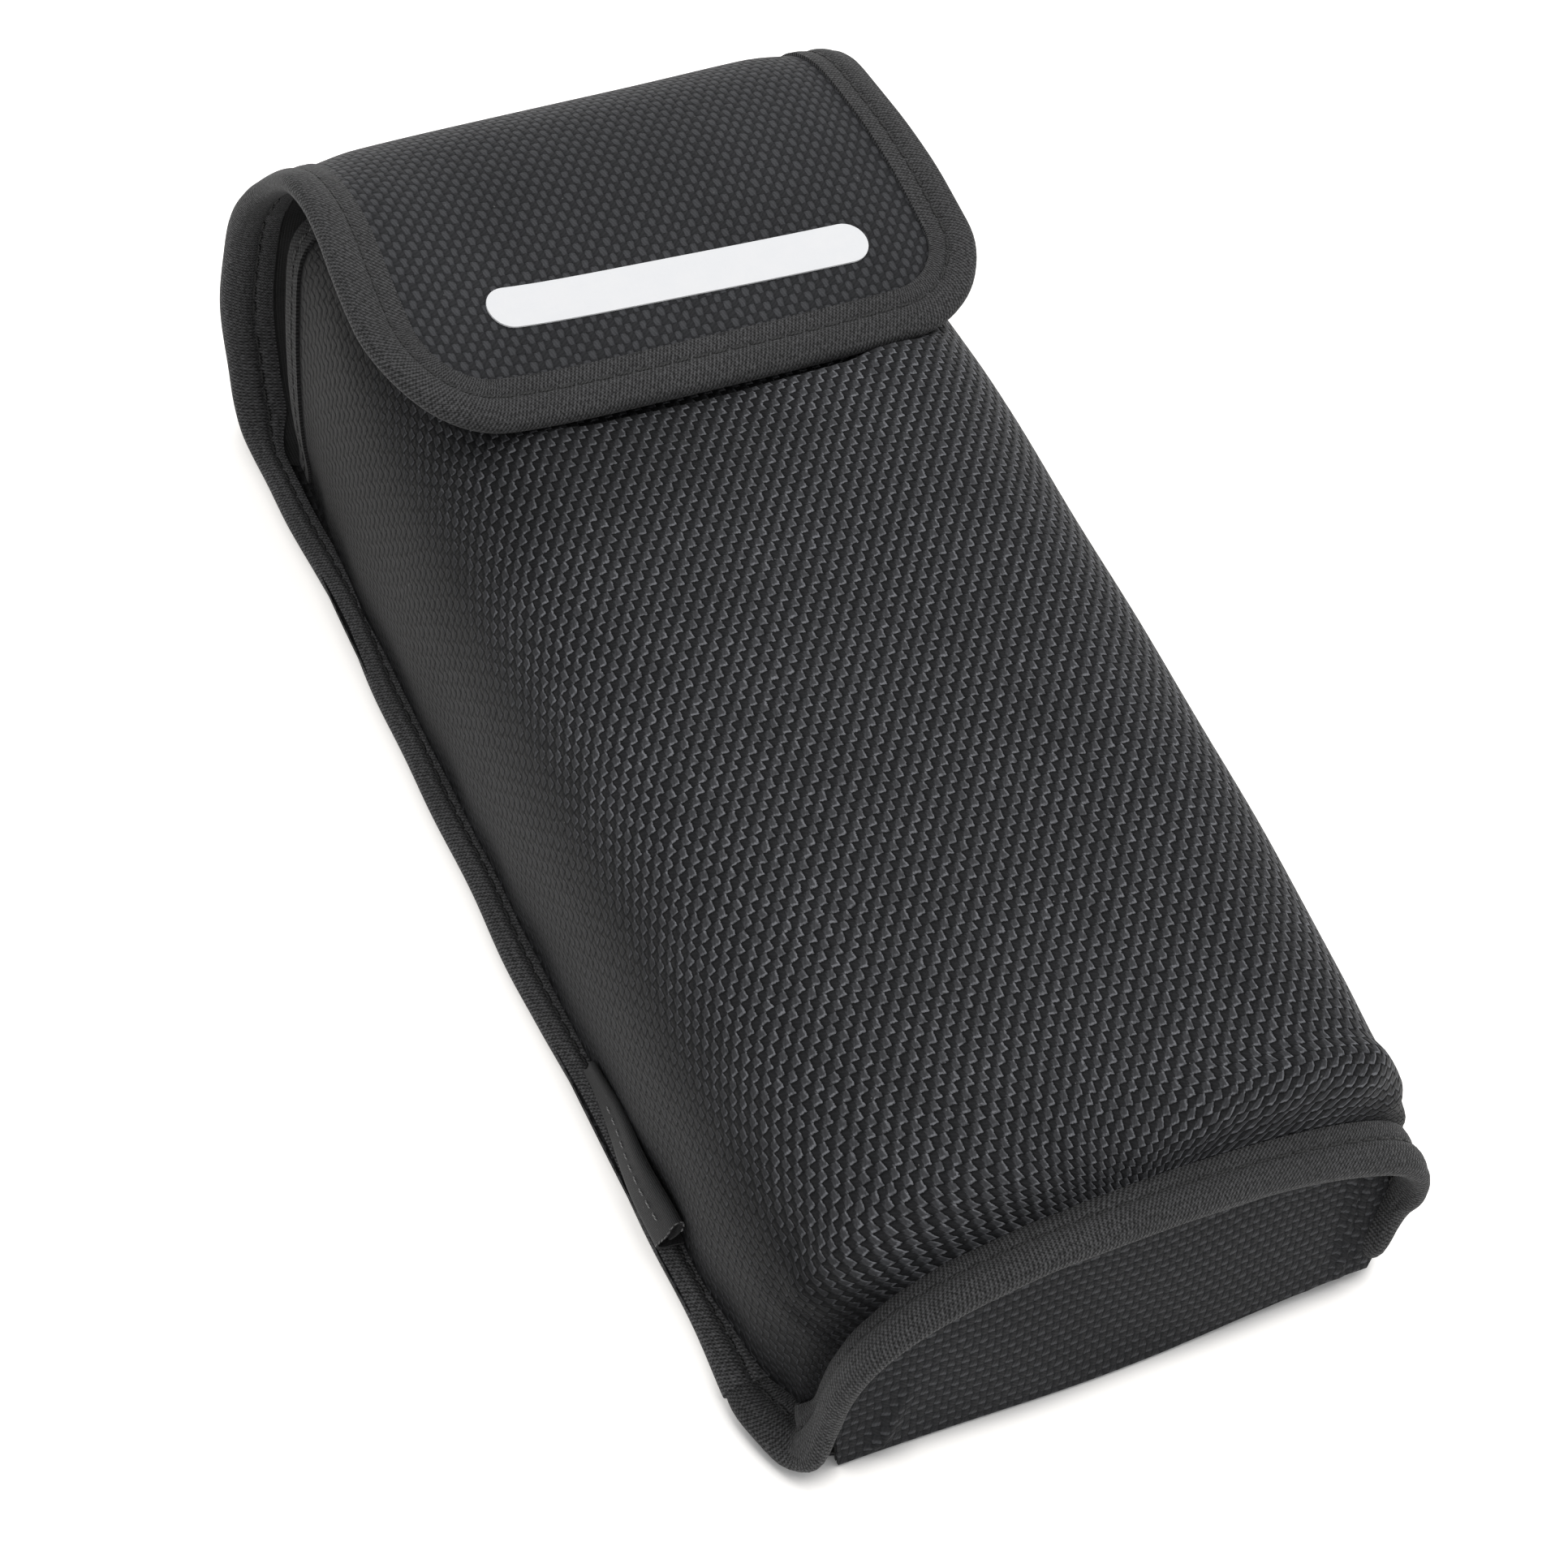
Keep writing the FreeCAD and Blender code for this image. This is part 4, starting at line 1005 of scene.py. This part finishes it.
def tape_piece(name, outer, inner, outward, material):
    """A folded tape and its two lines for stitches, from the rows of points on its outer and inner side."""
    centre, half = (outer[:, -1] + inner[:, 0]) / 2, (outer[:, -1] - inner[:, 0]) / 2
    radius = np.linalg.norm(half, axis=1, keepdims=True)
    nose = []
    for turn in np.radians([22, 45, 68, 90, 112, 135, 158]):
        nose.append(centre + half * math.cos(turn) + outward * radius * 1.05 * math.sin(turn))
    surface = np.concatenate([outer, np.stack(nose, 1), inner], axis=1)
    normal = grid_normals(surface)
    sign = np.sign((normal[:, outer.shape[1] + 3] * outward).sum())
    normal *= sign
    widths = np.linalg.norm(np.diff(surface, axis=1), axis=-1).mean(axis=0)
    across = np.concatenate([[0], np.cumsum(widths)])
    cloth = np.stack(np.meshgrid(across, run_length(centre))[::-1], -1)
    obj = slab(name, surface, surface - normal * TAPE, cloth, material, flip=sign < 0)
    return obj, [(surface[:, column], normal[:, column]) for column in (STITCH_COLUMN, -1 - STITCH_COLUMN)]


def stitches(
    name, runs, nodes=(), material=thread, pitch=3.1, length=2.5, width=0.62, tall=0.5, **moves
):
    """Short round stitches spaced along lines of points; each run is (points, normals)."""
    rings = np.array([-0.5, -0.43, -0.25, 0.25, 0.43, 0.5])
    girth = np.array([0.3, 0.75, 1.0, 1.0, 0.75, 0.3])
    dip = np.array([-0.5, -0.2, 0.0, 0.0, -0.2, -0.5])
    sides = 6
    turn = np.arange(sides) * 2 * math.pi / sides
    verts, faces, uvs = [], [], []
    for points, normals in runs:
        place = run_length(points)
        count = int((place[-1] - 1) // pitch)
        for k in range(count):
            mid = (k + 0.5) * pitch + (place[-1] - count * pitch) / 2
            here, up = read(mid, place, points), unit(read(mid, place, normals))
            run = unit(read(mid + 1, place, points) - read(mid - 1, place, points))
            run = unit(run - up * (run @ up))
            side = np.cross(up, run)
            skew = rng.uniform(-0.06, 0.06)
            turned = run * math.cos(skew) + side * math.sin(skew)
            run, side = turned, side * math.cos(skew) - run * math.sin(skew)
            base = len(verts)
            here[2] = max(here[2], 0.6 * tall + FLOOR_GAP)
            for r, g, d in zip(rings, girth, dip):
                for a in turn:
                    verts.append(
                        here + run * (r * length) + side * (math.cos(a) * g * width / 2)
                        + up * (math.sin(a) * g * tall / 2 + d * tall * 0.6)
                    )
                    uvs.append((r * length + mid, a / 3.0))
            for i in range(len(rings) - 1):
                for j in range(sides):
                    a, b = base + i * sides + j, base + i * sides + (j + 1) % sides
                    faces.append((a, b, b + sides, a + sides))
            faces.append(tuple(base + j for j in reversed(range(sides))))
            faces.append(tuple(base + (len(rings) - 1) * sides + j for j in range(sides)))
    finish_piece(new_object(name, verts, faces, material, np.array(uvs)), "thread", nodes, **moves)


OUTER_INSETS = np.array([6.6, 6.2, 5.4, 4.6, 3.95, 3.5, 3.05, 2.6, 2.0, 1.5, 1.0, 0.5, 0.0])
STITCH_COLUMN = 5


def strip_tape(name, path, far_cover, material):
    """Tape folded over the strip's edge; each place on the path is x, s and the inward direction there."""
    x, s, inward_x, inward_s = path.T[:, :, None]
    raised = (TAPE + tape_shape(OUTER_INSETS))[:, None]

    def places(insets):
        px, ps = x + inward_x * insets, np.clip(s + inward_s * insets, 0.0, STRIP_LENGTH)
        face, under, normal = strip_faces(px, ps)
        return px, ps, face, normal

    px, ps, face, normal = places(OUTER_INSETS)
    outer = face + normal * raised
    insets = OUTER_INSETS[::-1] * (np.reshape(far_cover, (-1, 1)) / TAPE_COVER)
    px, ps, face, normal = places(insets)
    thick, stack = strip_thick(px, ps), stack_at(ps)
    stack = stack + (thick - stack) * smooth(5, 9, insets)
    depth = np.maximum(stack, thick * (strip_at(px, ps)[..., 2] > 3))
    inner = face - normal * (depth[..., None] + raised[::-1])
    edge = strip_at(x, np.clip(s, 0, STRIP_LENGTH))
    further = strip_at(x - inward_x, np.clip(s - inward_s, 0.0, STRIP_LENGTH + 1))
    return tape_piece(name, outer, inner, unit(further - edge)[:, 0], material)


def bind(made, lines, nodes, thread_name=None, thread_nodes=(), lift=0.12, **moves):
    """Finish a tape and sew it down, or give its lines back when its thread is made later."""
    runs = [(points + normals * lift, normals) for points, normals in lines]
    finish_piece(made, "tape", nodes, **moves)
    if thread_name:
        stitches(thread_name, runs, thread_nodes, **moves)
    return runs


RAW_END_S = strip_s(-92.6, 0)
EDGES = [
    ("seam", RAW_END_S, SPLIT_LOWER, FIRST_BLEND, ["{}_seam_binding"]),
    (
        "bridge", SPLIT_LOWER, SPLIT_UPPER, MIDDLE_BLEND,
        ["bridge_lower_{}_binding", "bridge_upper_{}_binding"],
    ),
]
bridge_runs = []
for side, sign in (("left", -1.0), ("right", 1.0)):
    for name, start, end, bend, bindings in EDGES:
        s = np.linspace(start, end, int((end - start) / 1.5))
        path = np.stack(np.broadcast_arrays(sign * CUT, s, -sign, 0.0), -1)
        # The back side of the tape is narrow on the body, and wide at its raw end and on the bridge.
        far = 3.2 + 3.2 * smooth(MOUTH_S - 5, MOUTH_S + 7, s) + 2.0 * smooth(RAW_END_S + 16, RAW_END_S, s)
        taped = strip_tape(side + "_" + name + "_tape", path, far, painted_light_seam_tape)
        nodes = [binding.format(side) for binding in bindings]
        if name == "seam":
            bind(*taped, nodes, side + "_seam_thread", [side + "_seam_stitching"], blend=bend)
        else:
            bridge_runs += bind(*taped, nodes, blend=bend)
stitches("bridge_thread", bridge_runs, blend=MIDDLE_BLEND)

# The flap's tape runs down one side, round the two front corners and up the other.
straight = np.arange(SPLIT_UPPER, STRIP_LENGTH - FLAP_RADIUS, 1.4)
lip = np.arange(-CUT + FLAP_RADIUS, CUT - FLAP_RADIUS + 0.01, 1.5)[1:-1]


def flap_side(sign):
    """Path down one side of the flap and round its front corner."""
    path = [(sign * CUT, v, -sign, 0.0) for v in straight]
    for turn in np.radians(np.linspace(0, 90, 19)):
        over, along = math.cos(turn), math.sin(turn)
        x = CUT - FLAP_RADIUS + FLAP_RADIUS * over
        path.append((sign * x, STRIP_LENGTH - FLAP_RADIUS + FLAP_RADIUS * along, -sign * over, -along))
    return path


path = flap_side(-1.0) + [(v, STRIP_LENGTH, 0.0, -1.0) for v in lip] + flap_side(1.0)[::-1]
taped = strip_tape("flap_tape", np.array(path), TAPE_COVER, tape)
bind(*taped, ["flap_binding"], "flap_thread", ["flap_stitching"], blend=FLAP_BLEND)


def framed_tape(name, place, outward, up, cover_out, cover_in, stack, bulge, material):
    """Tape folded over an edge given by its middle points, outward and upward directions."""
    outward = unit(outward)
    up = unit(up - outward * (up * outward).sum(axis=1, keepdims=True))
    high = (np.reshape(stack, (-1, 1)) / 2 + TAPE + tape_shape(OUTER_INSETS) * bulge)[..., None]

    def face(cover, rise):
        reach = OUTER_INSETS * np.reshape(cover, (-1, 1)) / TAPE_COVER
        return place[:, None] - outward[:, None] * reach[..., None] + up[:, None] * rise

    return tape_piece(name, face(cover_out, high), face(cover_in, -high)[:, ::-1], outward, material)


# The rim's tape runs along the left flange's end, round its corner, over the arch and down the right side.
# Each row is its place, outward and up directions, cover outside and inside, and the stack it holds.
RIM_LEFT = [
    ((-48.5, -89.6, 1.6), (-1, 0, 0), (0, 0, 1), 5.8, 6.6, 0.7),
    ((-48.9, -94.6, 1.5), (-1, -0.1, 0), (0, 0, 1), 7.0, 7.2, 1.2),
    ((-47.7, -99.8, 1.5), (-0.9, -0.44, 0), (-0.04, -0.02, 1), 8.0, 7.6, 1.6),
    ((-46.2, -104.2, 1.7), (-0.68, -0.73, 0), (-0.2, -0.1, 0.97), 8.0, 7.0, 1.8),
    ((-44.8, -106.6, 3.7), (-0.36, -0.93, -0.05), (-0.72, 0.05, 0.66), 7.8, 6.5, 2.1),
]
RIM_RIGHT = [
    ((45.6, -106.0, 6.0), (0.3, -0.95, -0.05), (0.75, -0.05, 0.62), 7.8, 6.5, 2.1),
    ((46.6, -103.6, 2.3), (0.66, -0.75, 0), (0.2, -0.1, 0.97), 8.0, 7.0, 1.8),
    ((47.9, -99.6, 1.6), (0.9, -0.44, 0), (0.04, -0.02, 1), 8.0, 7.6, 1.6),
    ((48.5, -94.6, 1.5), (1, -0.1, 0), (0, 0, 1), 7.0, 7.2, 1.2),
    ((48.5, -89.6, 1.6), (1, 0, 0), (0, 0, 1), 5.8, 6.6, 0.7),
]
arch_u = np.linspace(front_keys[2] + 1.5, front_keys[18] - 1.5, 26)
edge_points = front_at(arch_u, np.array([RIM_V]))[0]
seam_points = front_at(arch_u, np.array([SEAM_V]))[0]
edge_out = unit(edge_points - seam_points)
tangent = unit(np.gradient(edge_points, axis=0))
edge_up = unit(np.cross(edge_out, tangent))
away = edge_up[:, 2:] + edge_up[:, :1] * np.sign(edge_points[:, :1])
edge_up *= np.where(away < 0, -1, 1)
reach = np.linalg.norm(edge_points - seam_points, axis=1) + 0.9
RIM_STACK = 2.3
arch_mid = edge_points + edge_out * 0.9 - edge_up * (RIM_STACK / 2 - 0.1)
arch = [(arch_mid[k], edge_out[k], edge_up[k], reach[k], 6.4, RIM_STACK) for k in range(len(arch_u))]
rim = np.array([(*place, *out, *up, *sizes) for place, out, up, *sizes in RIM_LEFT + arch + RIM_RIGHT])
rim_keys = run_length(rim[:, :3])
rim_at = hermite(rim_keys, rim, np.linspace(0, rim_keys[-1], int(rim_keys[-1] / 1.3)))
taped = framed_tape("rim_tape", *np.split(rim_at[:, :9], 3, axis=1), *rim_at[:, 9:].T, 1.1, tape)
bind(*taped, ["end_seam_binding"], "rim_thread", ["end_seam_stitching"], body="pouch")

mouth_u = np.linspace(FLANGE_KEY + 1.0, -FLANGE_KEY - 1.0, 95)
mouth_edge, mouth_in = (read(mouth_u, front_u, front_outer[row]) for row in (-1, -5))
mouth_out = unit(mouth_edge - mouth_in)
mouth_up = read(mouth_u, front_u, front_normal[-2])
mouth_up = unit(mouth_up - mouth_out * (mouth_up * mouth_out).sum(axis=1, keepdims=True))
mouth_deep = np.interp(mouth_u, front_u, front_deep[-1])
mouth_mid = mouth_edge + mouth_out * 0.5 - mouth_up * (mouth_deep / 2)[:, None]
taped = framed_tape("mouth_tape", mouth_mid, mouth_out, mouth_up, 5.2, 6.0, mouth_deep, 0.3, painted_shade_mouth_tape)
bind(*taped, ["mouth_binding"], "mouth_thread", ["mouth_stitching"], 0.1, body="pouch")

# ---- label, hook and loop patches

label_low, label_high = span("name_label")
LABEL_LONG = float(label_high[0] - label_low[0]) + 1.6
LABEL_WIDE = 6.9
label_s = strip_s(52.2, 61.4)
rows = np.sin(np.linspace(-math.pi / 2, math.pi / 2, 17)) * LABEL_WIDE / 2
reach = LABEL_LONG / 2 - LABEL_WIDE / 2 + np.sqrt(np.maximum((LABEL_WIDE / 2) ** 2 - rows**2, 0))
label_x = np.linspace(-1, 1, 61)[None, :] * reach[:, None] + 1.2
label_rows = label_s - 0.75 + np.broadcast_to(rows[:, None], label_x.shape) + label_x * 0.029
outer, inner, normal = strip_faces(label_x, label_rows)
label_cloth = np.stack([label_x, label_rows], -1)
made = slab("label_film", outer + normal * 0.34, outer + normal * 0.02, label_cloth, label_film, flip=True)
finish_piece(made, "label", ["name_label"], blend=FLAP_BLEND)


def outline(x_low, x_high, y_low, y_high, inset, step=1.0):
    """A rectangle's outline, walked once round."""
    xs = np.arange(x_low + inset, x_high - inset, step)
    ys = np.arange(y_low + inset, y_high - inset, step)
    points = [(v, y_low + inset) for v in xs]
    points += [(x_high - inset, v) for v in ys]
    points += [(v, y_high - inset) for v in xs[::-1]]
    points += [(x_low + inset, v) for v in ys[::-1]]
    return np.array(points)


hook_low, hook_high = span("hook_patch")
hook_from = strip_s(hook_high[1], 62.6)
hook_to = strip_s(hook_low[1], 60.4)
x, s = np.meshgrid(np.linspace(hook_low[0], hook_high[0], 33), np.linspace(hook_from, hook_to, 15))
outer, inner, normal = strip_faces(x, s)
made = slab("hook_pad", inner - normal * 0.05, inner - normal * 1.0, np.stack([x, s], -1), hook, flip=True)
finish_piece(made, "hook", ["hook_patch"], blend=FLAP_BLEND)
ring = outline(hook_low[0], hook_high[0], hook_from, hook_to, 1.6)
outer, inner, normal = strip_faces(ring[:, 0], ring[:, 1])
stitches("hook_thread", [(inner - normal * 1.08, -normal)], ["hook_patch_stitching"], blend=FLAP_BLEND)


def on_front(x, y):
    """Points on top of the front panel."""
    top_rows = front_outer[:, 25:106]
    heights = []
    for px, py in zip(x.ravel(), y.ravel()):
        nearest = np.clip(np.argmin(np.abs(top_rows[:, 40, 1] - py)), 1, len(top_rows) - 2)
        points = [read(px, row[:, 0], row) for row in top_rows[nearest - 1 : nearest + 2]]
        heights.append(np.interp(py, *np.transpose(points)[1:]))
    return np.stack([x, y, np.array(heights).reshape(x.shape)], -1)


loop_low, loop_high = span("loop_patch")
x, y = np.meshgrid(np.linspace(loop_low[0], loop_high[0], 33), np.linspace(loop_low[1], loop_high[1], 15))
bed = on_front(x, y)
bed_normal = grid_normals(bed)
made = slab("loop_pad", bed + bed_normal * 1.0, bed + bed_normal * 0.05, np.stack([x, y], -1), loop_pile)
finish_piece(made, "loop", ["loop_patch"], body="pouch")
ring = outline(loop_low[0], loop_high[0], loop_low[1], loop_high[1], 1.6)
bed = on_front(ring[:, 0], ring[:, 1])
upward = np.tile([0.0, 0.0, 1.0], (len(bed), 1))
stitches("loop_thread", [(bed + upward * 1.05, upward)], ["loop_patch_stitching"], body="pouch")

# ---- side tag: a ribbon rolled on itself

tag_low, tag_high = span("side_tag")
TAG_FOOT_X = -45.9
TAG_FOOT_Z = 3.0
TAG_BLEND = ("pouch", "side_tag", (-0.0478, -0.054, 0.0048), (-0.0478, -0.054, 0.0080))


def tag_section(t):
    """The ribbon's path in cross-section: out over the flange, folded up, over the top and in on itself."""
    keys = [0, 0.12, 0.24, 0.31, 0.42, 0.54, 0.66, 0.71, 0.82, 1.0]
    out = [0.0, 1.8, 3.4, 4.1, 3.9, 3.25, 2.3, 1.75, 1.9, 2.8]
    high = [0.5, 0.8, 0.95, 1.4, 3.0, 4.8, 6.3, 6.3, 4.9, 2.7]
    return hermite(keys, np.stack([out, high], -1), t)


tag_t = np.linspace(0, 1, 46)
tag_y = np.linspace(tag_high[1], tag_low[1], 42)
section = tag_section(tag_t)
rows = []
for y in tag_y:
    opened = smooth(0, 26, tag_high[1] - y)
    x = TAG_FOOT_X - section[:, 0] * (0.35 + 0.65 * opened) - 0.25 * math.sin(y / 3.4) * section[:, 1] / 7
    z = TAG_FOOT_Z + section[:, 1] * (0.42 + 0.58 * opened)
    rows.append(np.stack([x, y + 0.3 * np.sin(section[:, 1]), z], -1))
tag_grid = np.array(rows)
tag_normal = grid_normals(tag_grid)
tag_cloth = np.stack(np.meshgrid(tag_t * 20, tag_y)[::-1], -1)
made = slab("tag_ribbon", tag_grid, tag_grid - tag_normal * 0.42, tag_cloth, ribbon)
finish_piece(made, "ribbon", ["side_tag"], blend=TAG_BLEND)
out_of_roll = 1.0 if tag_normal[30, 20, 0] < 0 else -1.0
proud = 0.05 if out_of_roll > 0 else 0.47
tag_face = tag_grid + tag_normal * (out_of_roll * proud)
seam_line = (tag_face[8:-2, 23], tag_normal[8:-2, 23] * out_of_roll)
end_line = (tag_face[-1, 14:40] - np.array([0, 0.06, 0]), np.tile([0.0, -1.0, 0.0], (26, 1)))
stitches("tag_thread_line", [seam_line], (), pale_thread, 2.2, 1.5, 0.3, 0.24, blend=TAG_BLEND)
stitches("tag_frayed_end", [end_line], (), pale_thread, 0.9, 0.8, 0.26, 0.2, blend=TAG_BLEND)

# ---- floor and light


FLOOR_SIZE = 4.0
FLOOR_LEVEL = -0.0002
FLOOR_GLOW = 0.68
GLOW_COLOR = (1.0, 0.97, 0.93, 1)
CONTACT_REACH = 0.005
SKY = 0.6


def seen_rays(nodes):
    """1 on the rays that meet the floor and the sky as plain white, 0 on the others."""
    path = nodes.new("LightPath").outputs
    seen = nodes.math("MAXIMUM", path["Is Camera Ray"], path["Is Glossy Ray"])
    return nodes.math("MAXIMUM", seen, path["Is Transmission Ray"])


def floor_material():
    """White floor with a glow, which fades close to the pouch into a painted contact shadow."""
    sh = Shader("floor")
    diffuse = sh.new("BsdfDiffuse")
    diffuse.inputs["Color"].default_value = grey(0.9)
    glow = sh.new("Emission")
    glow.inputs["Color"].default_value = GLOW_COLOR
    contact_shadow_ao = sh.new("AmbientOcclusion")
    contact_shadow_ao.inputs["Distance"].default_value = CONTACT_REACH
    # The painted shade at the pouch's foot is deepest in front of the closed end.
    along = sh.split(sh.new("NewGeometry").outputs["Position"])[1]
    beside = sh.ease(along, -0.102, -0.085, 0.0, 0.5)
    strength = sh.ease(contact_shadow_ao.outputs["AO"], 0.5, 0.92, beside, FLOOR_GLOW)
    sh.put(sh.mul(seen_rays(sh), strength), glow.inputs["Strength"])
    both = sh.new("AddShader")
    sh.put(diffuse.outputs[0], both.inputs[0])
    sh.put(glow.outputs[0], both.inputs[1])
    sh.put(both.outputs[0], sh.tree.nodes["Material Output"].inputs["Surface"])
    return sh.material


def make_floor():
    mesh = bpy.data.meshes.new("floor")
    corners = [(x * FLOOR_SIZE, y * FLOOR_SIZE, 0) for x, y in ((-1, -1), (1, -1), (1, 1), (-1, 1))]
    mesh.from_pydata(corners, [], [(0, 1, 2, 3)])
    mesh.materials.append(floor_material())
    floor = bpy.data.objects.new("floor", mesh)
    floor.location.z = FLOOR_LEVEL
    bpy.context.scene.collection.objects.link(floor)


def make_sky():
    """A white sky, dimmer where it only lights the pouch."""
    world = bpy.data.worlds.new("studio")
    world.use_nodes = True
    nodes = Nodes(world.node_tree)
    sky = nodes.tree.nodes["Background"].inputs
    sky["Color"].default_value = grey(1)
    nodes.put(nodes.line(seen_rays(nodes), 1 - SKY, SKY), sky["Strength"])
    bpy.context.scene.world = world


def make_lamp(name, place, size, watts):
    data = bpy.data.lights.new(name, "AREA")
    data.shape = "SQUARE"
    data.size = size
    data.energy = watts
    lamp = bpy.data.objects.new(name, data)
    lamp.location = place
    lamp.rotation_mode = "QUATERNION"
    lamp.rotation_quaternion = (-Vector(place)).to_track_quat("-Z", "Y")
    bpy.context.scene.collection.objects.link(lamp)


make_floor()
make_sky()
make_lamp("key", (0.35, 0.15, 1.25), 1.1, 5.5)
make_lamp("fill", (-0.8, -0.8, 0.9), 0.9, 1.2)
bpy.context.scene.view_settings.view_transform = "Standard"
